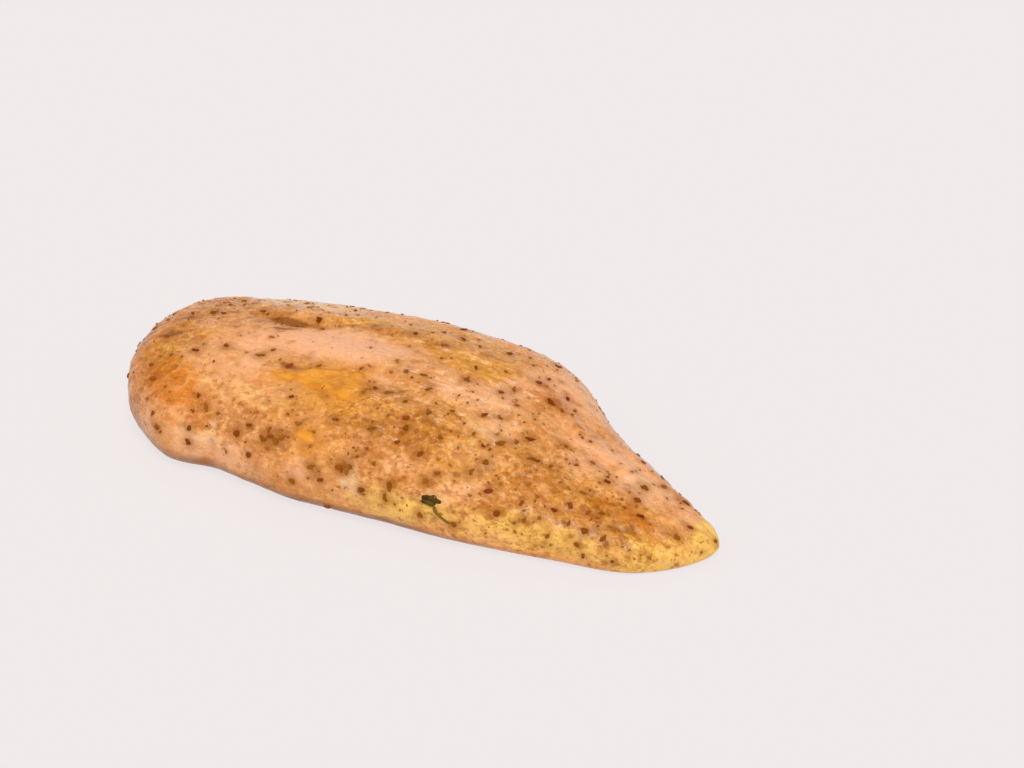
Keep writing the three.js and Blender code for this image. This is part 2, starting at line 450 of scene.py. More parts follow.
@dataclass(frozen=True)
class Seasoned:
    """How thickly the seasoning lies: an even share, and zones with more or less of it."""

    even: float = 0.42
    least: float = 0.04
    zones: tuple[Zone, ...] = (
        Zone((28, -23), (44, 17), 0.55),
        Zone((64, -22), (20, 12), 0.25),
        Zone((-64, 12), (20, 11), 0.4),
        Zone((-42, -20), (22, 13), -0.34),
        Zone((-22, -2), (22, 9), -0.42),
        Zone((54, 2), (17, 11), -0.26),
    )

    def amount(self, points: np.ndarray) -> np.ndarray:
        """How thickly the seasoning lies at each point, from the least to 1."""
        return np.clip(self.even + sum(zone.strength(points) for zone in self.zones), self.least, 1)


class Kind(Enum):
    """What a flake of the seasoning is."""

    HERB = "herb"
    PEPPER = "pepper"
    CHILLI = "chilli"


@dataclass(frozen=True)
class Flake:
    """A flake where it lies: length and width in metres, turn in degrees, and how light it is, 0 to 1."""

    kind: Kind
    seat: Seat
    length: float
    width: float
    turn: float
    light: float = 0.0


def stored(name: str, shape: bmesh.types.BMesh) -> bpy.types.Mesh:
    """Stores a shape in the making as a mesh, and frees it.

    Args:
        name: The mesh's name.
        shape: The shape in the making.

    Returns:
        The mesh.
    """
    mesh = bpy.data.meshes.new(name)
    shape.to_mesh(mesh)
    shape.free()
    return mesh


def carry(mesh: bpy.types.Mesh, mask: Mask, values: Sequence[float]) -> None:
    """Lets the vertices of a mesh carry a value each, for its finish to read."""
    mesh.attributes.new(mask.value, "FLOAT", "POINT").data.foreach_set("value", values)


def place_piece(
    name: str, mesh: bpy.types.Mesh, material: bpy.types.Material
) -> bpy.types.Object:
    """Puts a finished mesh in the scene as a piece of the part.

    Args:
        name: The piece's name.
        mesh: Its mesh.
        material: Its material.

    Returns:
        The piece, riding on the fillet's body.
    """
    mesh.materials.append(material)
    piece = bpy.data.objects.new(name, mesh)
    bpy.context.scene.collection.objects.link(piece)
    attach(piece, "root")
    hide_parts("fillet")
    return piece


@dataclass(frozen=True)
class Clouds:
    """Cloudy noise: how far apart its clouds lie, its finer layers, how much longer they are, and a shift."""

    size: float
    layers: float = 2.0
    longer: float = 1.0
    shift: float = 0.0


class Mixer:
    """A material in the making: its shader, and short ways to add the nodes that feed it."""

    def __init__(self, name: str) -> None:
        """Starts the material.

        Args:
            name: The material's name.
        """
        self.material = bpy.data.materials.new(name)
        self.material.use_nodes = True
        self.tree = self.material.node_tree
        self.shader = self.tree.nodes["Principled BSDF"]
        self.place = self.add("ShaderNodeTexCoord").outputs["Object"]
        self.made: dict[Clouds, bpy.types.NodeSocket] = {}

    def add(self, kind: str, **options: object) -> bpy.types.Node:
        """Adds a node.

        Args:
            kind: The node's type.
            **options: Its settings by name.

        Returns:
            The node.
        """
        node = self.tree.nodes.new(kind)
        for name, value in options.items():
            setattr(node, name, value)
        return node

    def feed(self, socket: bpy.types.NodeSocket, value: object) -> None:
        """Links another node to a socket, or sets its number or colour.

        Args:
            socket: The socket to fill.
            value: A node's output, a colour or a number.
        """
        if isinstance(value, bpy.types.NodeSocket):
            self.tree.links.new(value, socket)
        elif isinstance(value, tuple):
            socket.default_value = (*value, 1.0)
        else:
            socket.default_value = value

    def set(self, **values: object) -> None:
        """Fills the shader's own sockets, named with _ for each space."""
        for name, value in values.items():
            self.feed(self.shader.inputs[name.replace("_", " ")], value)

    def clouds(self, clouds: Clouds) -> bpy.types.NodeSocket:
        """Cloudy noise, about 0.25 to 0.75. The same clouds are made only once.

        Args:
            clouds: What the noise is like.

        Returns:
            The noise's output.
        """
        if clouds not in self.made:
            narrow = 1 / clouds.size
            mapping = self.add("ShaderNodeMapping")
            mapping.inputs["Location"].default_value = (clouds.shift,) * 3
            mapping.inputs["Scale"].default_value = (1 / (clouds.size * clouds.longer), narrow, narrow)
            self.tree.links.new(self.place, mapping.inputs["Vector"])
            texture = self.add("ShaderNodeTexNoise")
            texture.inputs["Scale"].default_value = 1.0
            texture.inputs["Detail"].default_value = clouds.layers
            self.tree.links.new(mapping.outputs[0], texture.inputs["Vector"])
            self.made[clouds] = texture.outputs["Fac"]
        return self.made[clouds]

    def swing(self, clouds: Clouds) -> bpy.types.NodeSocket:
        """Cloudy noise about zero, about -0.25 to 0.25."""
        return self.maths("SUBTRACT", self.clouds(clouds), 0.5)

    def dots(self, size: float, share: object, shift: float) -> bpy.types.NodeSocket:
        """Soft dots of many sizes with wavering outlines, one in some of the cells of a random pattern.

        Args:
            size: How far apart the cells lie.
            share: The share of the cells that hold a dot.
            shift: Moves the pattern.

        Returns:
            0 between the dots to 1 at their middles.
        """
        waviness, slimness, largest, core = 1.6, 0.8, 0.75, 0.25
        waver = self.add("ShaderNodeTexNoise")
        waver.inputs["Scale"].default_value = waviness / size
        moved = self.add("ShaderNodeVectorMath", operation="MULTIPLY_ADD")
        moved.inputs[1].default_value = (size, size, size)
        self.tree.links.new(self.place, waver.inputs["Vector"])
        self.tree.links.new(waver.outputs["Color"], moved.inputs[0])
        self.tree.links.new(self.place, moved.inputs[2])
        mapping = self.add("ShaderNodeMapping")
        mapping.inputs["Location"].default_value = (shift, shift, shift)
        mapping.inputs["Scale"].default_value = (slimness / size, 1 / size, 1 / size)
        self.tree.links.new(moved.outputs[0], mapping.inputs["Vector"])
        cells = self.add("ShaderNodeTexVoronoi")
        cells.inputs["Scale"].default_value = 1.0
        self.tree.links.new(mapping.outputs[0], cells.inputs["Vector"])
        luck = self.add("ShaderNodeSeparateColor")
        self.tree.links.new(cells.outputs["Color"], luck.inputs[0])
        left = self.maths("MAXIMUM", self.maths("SUBTRACT", self.total(luck.outputs[0], share), 1.0), 0.0)
        reach = self.times(self.maths("POWER", left, 0.5), largest)
        return self.fade(cells.outputs["Distance"], reach, self.times(reach, core))

    def mask(self, mask: Mask) -> bpy.types.NodeSocket:
        """What the mesh carries from point to point."""
        return self.add("ShaderNodeAttribute", attribute_name=mask.value).outputs["Fac"]

    def times(self, value: object, share: object) -> bpy.types.NodeSocket:
        """A value times a number or another value."""
        return self.maths("MULTIPLY", value, share)

    def total(self, *values: object) -> bpy.types.NodeSocket:
        """The sum of several values.

        Args:
            *values: Nodes' outputs or numbers.

        Returns:
            The sum.
        """
        whole = values[0]
        for value in values[1:]:
            whole = self.maths("ADD", whole, value)
        return whole

    def weighed(self, weights: dict[Mask, float]) -> bpy.types.NodeSocket:
        """The sum of several masks, each times its weight."""
        return self.total(*(self.times(self.mask(mask), weight) for mask, weight in weights.items()))

    def maths(self, operation: str, first: object, second: object = 0.0) -> bpy.types.NodeSocket:
        """Arithmetic on two values.

        Args:
            operation: What to do, as the node names it.
            first: A node's output or a number.
            second: A node's output or a number.

        Returns:
            The result.
        """
        node = self.add("ShaderNodeMath", operation=operation)
        self.feed(node.inputs[0], first)
        self.feed(node.inputs[1], second)
        return node.outputs[0]

    def fade(self, value: object, low: float, high: float, full: float = 1.0) -> bpy.types.NodeSocket:
        """Fades from 0 at low to full at high.

        Args:
            value: A node's output.
            low: Where the fade starts.
            high: Where the fade is complete.
            full: What it reaches.

        Returns:
            The faded value.
        """
        node = self.add("ShaderNodeMapRange", interpolation_type="SMOOTHSTEP")
        self.feed(node.inputs["Value"], value)
        self.feed(node.inputs["From Min"], low)
        self.feed(node.inputs["From Max"], high)
        self.feed(node.inputs["To Max"], full)
        return node.outputs["Result"]

    def blend(self, share: object, first: object, second: object) -> bpy.types.NodeSocket:
        """Mixes two colours.

        Args:
            share: How much of the second.
            first: A colour or a node's output.
            second: A colour or a node's output.

        Returns:
            The mixed colour.
        """
        node = self.add("ShaderNodeMix", data_type="RGBA")
        self.feed(node.inputs[0], share)
        self.feed(node.inputs[6], first)
        self.feed(node.inputs[7], second)
        return node.outputs[2]

    def relief(self, height: object, depth: float) -> None:
        """Gives the shader fine bumps.

        Args:
            height: The bumps' height, 0 to 1.
            depth: How high 1 stands.
        """
        bumps = self.add("ShaderNodeBump")
        bumps.inputs["Distance"].default_value = depth
        self.feed(bumps.inputs["Height"], height)
        self.feed(self.shader.inputs["Normal"], bumps.outputs["Normal"])


@dataclass(frozen=True)
class Patch:
    """A colour laid over the meat where a mask is: its cover, and the clouds that break its border."""

    mask: Mask
    colour: Colour
    cover: float
    border: Clouds


RAGGED = Clouds(5 * MM, 4.0, 1.6, 7.0)


@dataclass(frozen=True)
class FleshFinish:
    """Wet raw meat: peach with pinker patches, golden and russet under oil and spice, with fat at the edge,
    and with painted sheen, highlights and shade.

    A fade is given by where it starts, where it is complete, and what it reaches if that isn't 1. Dots are
    given by how far apart they lie, and by a shift of their pattern.
    """

    meat: Colour = linear(229, 158, 101)
    meat_deep: Colour = linear(221, 143, 75)
    # pale fibre colour, also used for the painted highlights on specks and ridge tops
    strand_and_highlight: Colour = linear(253, 190, 116)
    gold: Colour = linear(217, 143, 12)
    pool: Colour = linear(224, 146, 48)
    # spice colour, also the colour of the painted shade in the hollows and on the thick end
    brown_and_shade: Colour = linear(184, 104, 8)
    stain: Colour = linear(160, 90, 4)
    # colour of the painted shade at the foot
    foot: Colour = linear(136, 80, 30)
    # pinker flesh, partly painted sheen on the crest and on slopes that face the lamps
    blush_and_sheen: Patch = Patch(Mask.BLUSH_AND_SHEEN, linear(247, 180, 136), 0.9, RAGGED)
    coats: tuple[Patch, ...] = (
        Patch(Mask.GOLD, linear(217, 143, 12), 0.8, Clouds(4 * MM, 3.0, 1.3, 17.0)),
        # pale colour of the painted highlights and sheen
        Patch(Mask.PALE_AND_HIGHLIGHT, linear(244, 202, 154), 0.8, RAGGED),
        Patch(Mask.FAT, linear(255, 208, 96), 0.8, Clouds(2.4 * MM, 3.0, 1.8, 11.0)),
        Patch(Mask.OIL, linear(218, 122, 8), 0.85, Clouds(3.4 * MM, 3.0, 1.2, 23.0)),
    )
    # dark seams of spice and painted shade in the fold
    crease: Patch = Patch(Mask.SEAMS_AND_SHADE, linear(140, 78, 0), 0.85, RAGGED)
    border_fade: tuple[float, float] = (0.15, 0.75)
    tones: Clouds = Clouds(13 * MM, 3.0)
    tone_fade: tuple[float, float] = (0.35, 0.65)
    fibres: Clouds = Clouds(1.2 * MM, 2.0, 10.0, 3.0)
    fibre_fade: tuple[float, float, float] = (0.45, 0.68, 0.3)
    golden_spice: float = 0.35
    # specks of painted highlight
    highlight_flecks: Clouds = Clouds(1.3 * MM, 3.0, 1.3, 31.0)
    highlight_fleck_fade: tuple[float, float, float] = (0.48, 0.72, 0.6)
    highlight_fleck_spice: float = 0.08
    oiled_fade: tuple[float, float] = (0.9, 0.1)
    ridge_cover: float = 0.85
    pool_cover: float = 0.75
    mottle: Clouds = Clouds(1.3 * MM, 4.0, 1.2, 5.0)
    mottle_strength: float = 1.6
    mottle_fade: tuple[float, float, float] = (0.15, 0.75, 0.7)
    small_dots: tuple[float, float] = (1.3 * MM, 4.0)
    small_cover: float = 0.5
    large_dots: tuple[float, float] = (2.4 * MM, 9.0)
    large_cover: float = 0.75
    squiggles: Clouds = Clouds(1.9 * MM, 2.0, 1.4, 13.0)
    squiggle_fade: tuple[float, float] = (0.055, 0.015)
    squiggle_cover: float = 0.8
    gaps: Clouds = Clouds(3 * MM, 2.0, 1.0, 19.0)
    gap_fade: tuple[float, float] = (0.42, 0.58)
    stain_cover: float = 0.85
    foot_shade_cover: float = 0.8
    dry_fade: tuple[float, float, float] = (0.2, 0.8, 0.55)
    oil_gloss: float = 0.2
    smoothest: float = 0.18
    grains: tuple[Clouds, ...] = (Clouds(1.1 * MM, 3.0, 3.0, 1.0), Clouds(0.7 * MM, 2.0, 1.0, 2.0))
    grain_height: float = 0.36 * MM
    dot_height: float = 0.3

    def material(self) -> bpy.types.Material:
        """The finish as a material.

        Returns:
            The material.
        """
        mix = Mixer("raw_chicken")
        spice = mix.weighed({Mask.SPICE: 0.75, Mask.BROWN_AND_SHADE: 0.5, Mask.BLUSH_AND_SHEEN: -0.45})
        small = mix.dots(self.small_dots[0], spice, self.small_dots[1])
        colour = self.highlights_and_pools(mix, self.coated(mix, self.bare(mix)))
        colour = self.spiced(mix, self.mottled(mix, colour), spice, small)
        colour = self.patch(mix, colour, self.crease)
        # painted shade at the foot, and the darker rim
        colour = mix.blend(mix.times(mix.mask(Mask.UNDERSIDE_SHADE_AND_RIM), self.foot_shade_cover), colour, self.foot)
        dry = mix.fade(mix.clouds(RAGGED), *self.dry_fade)
        rough = mix.maths("SUBTRACT", dry, mix.times(mix.mask(Mask.OIL), self.oil_gloss))
        mix.set(Base_Color=colour, Roughness=mix.maths("MAXIMUM", rough, self.smoothest))
        mix.set(Subsurface_Weight=0.15, Subsurface_Scale=1.5 * MM)
        mix.set(Specular_IOR_Level=0.2, Coat_Weight=0.25, Coat_Roughness=0.18)
        mix.shader.inputs["Subsurface Radius"].default_value = (1.0, 0.4, 0.2)
        grain = mix.total(*(mix.clouds(grain) for grain in self.grains), mix.times(small, self.dot_height))
        mix.relief(grain, self.grain_height)
        return mix.material

    def bare(self, mix: Mixer) -> bpy.types.NodeSocket:
        """The bare meat, in two tones with lighter fibres.

        Args:
            mix: The material in the making.

        Returns:
            The colour.
        """
        tone = mix.fade(mix.clouds(self.tones), *self.tone_fade)
        fibres = mix.fade(mix.clouds(self.fibres), *self.fibre_fade)
        return mix.blend(fibres, mix.blend(tone, self.meat_deep, self.meat), self.strand_and_highlight)

    def coated(self, mix: Mixer, colour: bpy.types.NodeSocket) -> bpy.types.NodeSocket:
        """Lays the pinker patches with their painted sheen, the ground spice, and the coats over the meat:
        gold, pale patches with painted highlights, fat and oil.

        Args:
            mix: The material in the making.
            colour: The colour below.

        Returns:
            The new colour.
        """
        colour = self.patch(mix, colour, self.blush_and_sheen)
        colour = mix.blend(mix.times(mix.mask(Mask.SPICE), self.golden_spice), colour, self.gold)
        for coat in self.coats:
            colour = self.patch(mix, colour, coat)
        return colour

    def highlights_and_pools(self, mix: Mixer, colour: bpy.types.NodeSocket) -> bpy.types.NodeSocket:
        """Adds specks of painted highlight where no oil stands, light ridges, and the pools.

        Args:
            mix: The material in the making.
            colour: The colour below.

        Returns:
            The new colour.
        """
        pool = mix.mask(Mask.POOL)
        # painted highlights in small specks, kept off the oil
        light = mix.total(mix.clouds(self.highlight_flecks), mix.times(mix.mask(Mask.SPICE), self.highlight_fleck_spice))
        highlight_flecks = mix.fade(light, *self.highlight_fleck_fade)
        unoiled = mix.fade(mix.total(mix.mask(Mask.OIL), pool), *self.oiled_fade)
        colour = mix.blend(mix.times(highlight_flecks, unoiled), colour, self.strand_and_highlight)
        # ridge tops painted lighter: pale strands with painted highlight
        colour = mix.blend(mix.times(mix.mask(Mask.RIDGE_STRAND_AND_HIGHLIGHT), self.ridge_cover), colour, self.strand_and_highlight)
        return mix.blend(mix.times(pool, self.pool_cover), colour, self.pool)

    def mottled(self, mix: Mixer, colour: bpy.types.NodeSocket) -> bpy.types.NodeSocket:
        """Adds russet clouds, thicker under the spice, and thicker in the hollows as painted shade.

        Args:
            mix: The material in the making.
            colour: The colour below.

        Returns:
            The new colour.
        """
        # painted shade in the hollows, with the darker spice; less in the pinker patches
        darker = mix.weighed({Mask.HOLLOW_SHADE: 0.2, Mask.SPICE: 0.2, Mask.BROWN_AND_SHADE: 0.5, Mask.BLUSH_AND_SHEEN: -0.1})
        mottle = mix.total(mix.times(mix.swing(self.mottle), self.mottle_strength), darker)
        return mix.blend(mix.fade(mottle, *self.mottle_fade), colour, self.brown_and_shade)

    def spiced(
        self,
        mix: Mixer,
        colour: bpy.types.NodeSocket,
        spice: bpy.types.NodeSocket,
        small: bpy.types.NodeSocket,
    ) -> bpy.types.NodeSocket:
        """Adds the dots, the broken squiggles and the stains of ground spice.

        Args:
            mix: The material in the making.
            colour: The colour below.
            spice: How much spice lies there.
            small: The small dots.

        Returns:
            The new colour.
        """
        colour = mix.blend(mix.times(small, self.small_cover), colour, self.brown_and_shade)
        lines = mix.fade(mix.maths("ABSOLUTE", mix.swing(self.squiggles)), *self.squiggle_fade)
        broken = mix.times(lines, mix.fade(mix.clouds(self.gaps), *self.gap_fade))
        colour = mix.blend(mix.times(broken, mix.times(spice, self.squiggle_cover)), colour, self.brown_and_shade)
        large = mix.dots(self.large_dots[0], spice, self.large_dots[1])
        colour = mix.blend(mix.times(large, self.large_cover), colour, self.stain)
        return mix.blend(mix.times(mix.mask(Mask.STAIN), self.stain_cover), colour, self.stain)

    def patch(self, mix: Mixer, colour: bpy.types.NodeSocket, patch: Patch) -> bpy.types.NodeSocket:
        """Lays a patch over another colour, with a ragged border.

        Args:
            mix: The material in the making.
            colour: The colour below.
            patch: The patch.

        Returns:
            The new colour.
        """
        carried = mix.total(mix.mask(patch.mask), mix.swing(patch.border))
        return mix.blend(mix.fade(carried, *self.border_fade, patch.cover), colour, patch.colour)


@dataclass
class Flesh:
    """The fillet's body: the form with its fine relief, and the masks that its finish reads."""

    form: Form = field(default_factory=Form)
    seasoned: Seasoned = field(default_factory=Seasoned)
    finish: FleshFinish = field(default_factory=FleshFinish)
    rings: int = 272
    round: int = 350
    crowding: float = 0.4
    # pinker patches of flesh; the broad one on the crest and those on slopes facing the lamps are painted
    # sheen
    blush_and_sheen: tuple[Zone, ...] = (
        Zone((-25, -2), (19, 7.5), 1.3, 10),
        Zone((-43, -41), (12, 6), 1.6, height=(8, 7.5)),
        Zone((35, 17), (12, 8), 1.2),
        Zone((60, -2), (14, 7), 1.0),
        Zone((16, -6), (9, 6), 0.7),
        Zone((26, 2), (6, 7), 0.8),
        Zone((14, -35), (8, 4), 0.5, height=(18, 5)),
        Zone((34, -33), (7, 4), 0.6, height=(16, 5)),
        Zone((30, -18), (8, 10), 1.3, -10),
        Zone((69, -6), (7, 5), 1.3),
        Zone((53, -12), (6, 5), 0.7),
        Zone((-14, -42), (6, 4), 0.8, height=(13, 4)),
        Zone((-6, -13), (4, 3), 0.8),
        Zone((-70, -6), (6, 5), 0.7),
        Zone((-50, -10), (9, 5), 0.5),
        Zone((-46, -22), (9, 6), 0.6),
        Zone((84, -6), (6, 5), 0.6),
    )
    gold: tuple[Zone, ...] = (
        Zone((2, 16), (20, 8), 1.3),
        Zone((12, 7), (10, 5), 0.9),
        Zone((20, -22), (30, 13), 0.65),
        Zone((-76, -14), (14, 14), 0.65),
        Zone((-66, -26), (8, 3), 0.9, -20),
        Zone((-16, -26), (14, 7), 0.5),
        Zone((-30, 12), (14, 2), 0.8, 25),
        Zone((-16, 16.5), (12, 4), 1.2),
        Zone((70, -22), (20, 7), 0.7),
        Zone((-13, -37), (7, 4), 0.5, height=(19, 5)),
    )
    # darker spice patches; on the thick end, which faces away from the main lamp, they are also painted shade
    brown_and_shade: tuple[Zone, ...] = (
        Zone((-80, -14), (10, 14), 1.0),
        Zone((-92, -8), (6, 26), 1.3, height=(12, 10)),
        Zone((-76, -18), (16, 18), 0.6),
        Zone((-76, -14), (4, 3), 0.8, 30),
        Zone((-70, -30), (12, 7), 0.6),
        Zone((-47, 4.6), (6, 2), 1.4),
        Zone((-47, -2), (5, 1.8), 0.6),
        Zone((-23, 12), (4, 2.4), 0.9),
        Zone((-21, -14.6), (9, 1.3), 1.3, 20),
        Zone((-34, -16.6), (4, 1.2), 1.1, -10),
        Zone((13, -25), (11, 7), 0.8),
        Zone((34, 8), (8, 6), 0.8),
        Zone((46, -22), (9, 7), 0.6),
        Zone((44, -33), (8, 4), 0.4, height=(11, 5)),
        Zone((21, -36.5), (18, 3), 0.7, height=(15, 5)),
        Zone((39, -34), (5, 3), 0.8, height=(14, 4)),
        Zone((6, -34), (6, 4), 0.5),
        Zone((70, -24), (8, 5), 0.8),
        Zone((50, 5), (7, 6), 0.6),
        Zone((-56, -3), (13, 4), 0.55),
        Zone((-1, -18), (9, 8), -0.45),
        Zone((31, -19), (7, 9), -0.3),
        Zone((-14, -42), (7, 4), -0.5, height=(12, 4)),
        Zone((28, -38.5), (12, 4), -0.5, height=(7, 3.5)),
        Zone((-6, -29), (7, 6), 0.6),
        Zone((-48, -39), (14, 4), 0.5, height=(16, 6)),
        Zone((-34, -37), (9, 5), 0.95),
        Zone((-64, 14), (10, 5), 0.4),
        Zone((-23, -39.7), (4.5, 3), 1.5, height=(17, 3.5)),
        Zone((-72, 10), (16, 9), 0.5),
        Zone((-14, 11), (14, 2.6), 0.8, 6),
        Zone((8, 16), (14, 5), 0.5),
        Zone((-45, -23), (10, 7), 0.5),
    )
    oil: tuple[Zone, ...] = (
        Zone((-62, -32), (9, 6), 1.4, -24),
        Zone((-47, -38), (7, 4), 0.7, -24),
        Zone((-22, -42), (6, 5), 0.6, height=(8, 4)),
        Zone((36, 10), (8, 6), 0.6),
        Zone((56, -5), (9, 6), 0.3),
        Zone((46, 2), (8, 6), 0.25),
        Zone((74, -18), (9, 5), 0.5),
        Zone((74, -18), (2.6, 2), 0.9),
        Zone((64.5, -19), (2.4, 2), 0.8),
    )
    pools: tuple[Zone, ...] = (
        Zone((-16.5, -18), (7.4, 5.6), 2.2, 5),
        Zone((-26, -18.5), (8, 3), 1.0, 8),
        Zone((-15, -37.2), (4.2, 2.8), 1.0, height=(19.5, 5)),
    )
    # dark seams of spice, and the painted shadow round the leaf's stalk
    seams: tuple[Zone, ...] = (
        Zone((-20.5, -13.8), (8, 1.0), 0.65, 17),
        Zone((-33.5, -16.6), (4, 1.1), 0.6, -12),
        Zone((-48, 5.2), (5.5, 1.2), 1.3, 3),
        Zone((-46, -0.8), (4.5, 0.9), 0.8, 22),
        Zone((-75.3, -13.6), (4.2, 1.2), 1.0, 31),
        Zone((-77, -4.2), (3.4, 1.1), 0.9, 29),
        Zone((-66, 4), (3, 0.9), 0.7, 20),
        Zone((65, -28), (2.6, 1.6), 0.5, 20, height=(11, 3)),
        Zone((70, -24.5), (3, 1.5), 0.6, 20, height=(11, 3)),
        Zone((74, -22.5), (2.6, 1.3), 0.45, 30, height=(10, 3)),
        # painted shadow of the leaf's stalk
        Zone((29.5, -37.8), (2.2, 2), 0.45, height=(9.5, 2.2)),
        Zone((-23, 12.6), (4, 1.6), 0.5, 25),
    )
    # darker round the edge of the thick end, laid with the foot's painted shade
    rim: tuple[Zone, ...] = (
        Zone((-92.5, -14), (2.6, 24), 0.8, height=(10, 9)),
        Zone((-86.5, -14), (3, 6), 0.7, height=(19, 4)),
        Zone((-76.5, -33), (4, 3), 0.5, height=(5, 5)),
    )
    fat: tuple[Zone, ...] = (
        Zone((16, -40), (14, 6), 0.9, height=(9, 4)),
        Zone((53, -34), (27, 6), 0.9, height=(9.5, 5.5)),
        Zone((78, -24), (14, 7), 0.9, height=(4, 5)),
        Zone((91, -9), (5, 9), 1.4, height=(4, 7)),
        Zone((-71, -21), (6, 4), 0.4),
    )
    # painted highlights: glints on the near shoulder, and lighter sheen along the far-left edge and on slopes
    # facing the lamps
    pale: tuple[Zone, ...] = (
        Zone((2, -40), (3.5, 4), 1.1, height=(13.5, 3)),
        Zone((-45, -39.5), (6, 4), 1.6, height=(14.5, 3.2)),
        Zone((24, -38), (7, 4), 0.7, height=(13, 3)),
        Zone((-55, 20), (26, 7), 0.85, 8),
        Zone((-47, -41), (9, 4), 0.4, height=(8, 5)),
        Zone((-66, 6.5), (15, 4), 0.4, 18),
        Zone((30, -16), (6, 9), 0.45),
        Zone((69, -6), (5, 4), 0.5),
    )
    wrinkled: tuple[Zone, ...] = (
        Zone((-42, -28), (20, 8), 1.0),
        Zone((-44, -39), (11, 4), 0.9, height=(14, 6)),
        Zone((-62, 12), (16, 6), 0.6),
        Zone((2, 15), (22, 6), 0.4),
        Zone((24, -38), (22, 6), 0.6, height=(12, 6)),
    )
    fibres: Swells = Swells((26, 1.7, 1.7), 3.1, 0.1 * MM)
    lumps: tuple[Swells, ...] = (Swells((15, 9, 9), 11.7, 0.3 * MM), Swells((7, 4.5, 4.5), 5.3, 0.2 * MM))
    pebbles: Swells = Swells((3.4, 2.6, 2.6), 8.9, 1.8)
    pebble_height: float = 0.34 * MM
    even_pebbles: float = 0.2
    ridges: Swells = Swells((6, 3.6, 3.6), 2.7)
    ridge_fade: tuple[float, float] = (0.02, 0.22)
    wrinkle_height: float = 0.3 * MM
    flat_base: tuple[float, float] = (0.6 * MM, 5 * MM)
    smooth_shoulder: tuple[float, float] = (-86 * MM, -60 * MM)
    wander: tuple[Swells, ...] = tuple(Swells((9, 7, 7), seed, 3 * MM) for seed in (21.3, 33.1, 47.9))
    crease_cover: float = 0.8
    crease_reach: float = 0.8 * MM
    crease_start: tuple[float, float] = (-58 * MM, -51 * MM)
    crease_thins: tuple[float, float] = (-50 * MM, -42 * MM)
    crease_thinned: float = 0.45
    crease_height: tuple[float, float] = (4 * MM, 12 * MM)
    foot_turns_down: tuple[float, float] = (-0.15, 0.45)
    foot_ends: tuple[float, float] = (0.85, 0.98)
    foot_thins: tuple[float, float] = (15 * MM, 60 * MM)
    pool_border: tuple[float, float] = (0.02, 0.5)
    stain_reach: float = 0.7
    stain_least: float = 0.4 * MM
    stain_window: float = 2.5
    stain_depth: float = 0.9
    stain_paler: float = 0.55

    def wrinkles(self, points: np.ndarray) -> np.ndarray:
        """Winding little ridges, 0 between them to 1 on top of them, where the surface is wrinkled."""
        ridges = 1 - smoothstep(np.abs(self.ridges.at(points)), *self.ridge_fade)
        return ridges * zone_sum(self.wrinkled, points)

    def detail(self, points: np.ndarray) -> np.ndarray:
        """The fine relief: lengthwise fibres, soft lumps, wrinkles, and pebbles under the seasoning.

        Args:
            points: Points on the form, in metres.

        Returns:
            How far the surface stands out there.
        """
        above = smoothstep(points[..., 2], *self.flat_base)
        fibres = smoothstep(points[..., 0], *self.smooth_shoulder) * self.fibres.at(points)
        lumps = sum(swells.at(points) for swells in self.lumps)
        seasoned = self.even_pebbles + (1 - self.even_pebbles) * self.seasoned.amount(points)
        pebbles = self.pebble_height * seasoned * self.pebbles.at(points)
        wrinkles = self.wrinkle_height * self.wrinkles(points)
        return above * (fibres + lumps + pebbles + wrinkles)

    def seat(self, station: float, angle: float) -> Seat:
        """A place on the finished surface.

        Args:
            station: The station, 0 to the form's last.
            angle: The angle round the section, in radians.

        Returns:
            The place.
        """
        bare = self.form.seat(station, angle)
        lift = float(self.detail(np.array([bare.point]))[0])
        return Seat(bare.point + bare.out * lift, bare.along, bare.out)

    def seat_at(self, along: float, degrees: float) -> Seat:
        """The place this far along in millimetres, and this many degrees round the section."""
        angle = math.radians(degrees)
        return self.seat(self.form.station_at(along * MM, angle), angle)

    def wandered(self, points: np.ndarray) -> np.ndarray:
        """The points moved about a little, so that a zone read there has a winding border."""
        return points + np.stack([swells.at(points) for swells in self.wander], -1)

    def shaded_fold(self, points: np.ndarray) -> np.ndarray:
        """The dark line along the fold: spice gathered in the crease, and painted shade.

        Args:
            points: Points on the form, in metres.

        Returns:
            How dark it is at each point, 0 to 1.
        """
        x, y = points[..., 0], points[..., 1]
        thinned = 1 - self.crease_thinned * smoothstep(x, *self.crease_thins)
        strength = self.crease_cover * smoothstep(x, *self.crease_start) * thinned
        return strength * self.form.fold_window(x) * bump(self.form.fold_line(x, y), self.crease_reach)

    def shaded_foot(self, points: np.ndarray, out: np.ndarray) -> np.ndarray:
        """The darker foot of the thick end, where the side turns under: painted shade, with some damp.

        Args:
            points: Points on the form, in metres.
            out: The outward directions there.

        Returns:
            How dark it is at each point, 0 to 1.
        """
        down = -out[..., 2]
        thick_end = 1 - smoothstep(points[..., 0], *self.foot_thins)
        return smoothstep(down, *self.foot_turns_down) * (1 - smoothstep(down, *self.foot_ends)) * thick_end

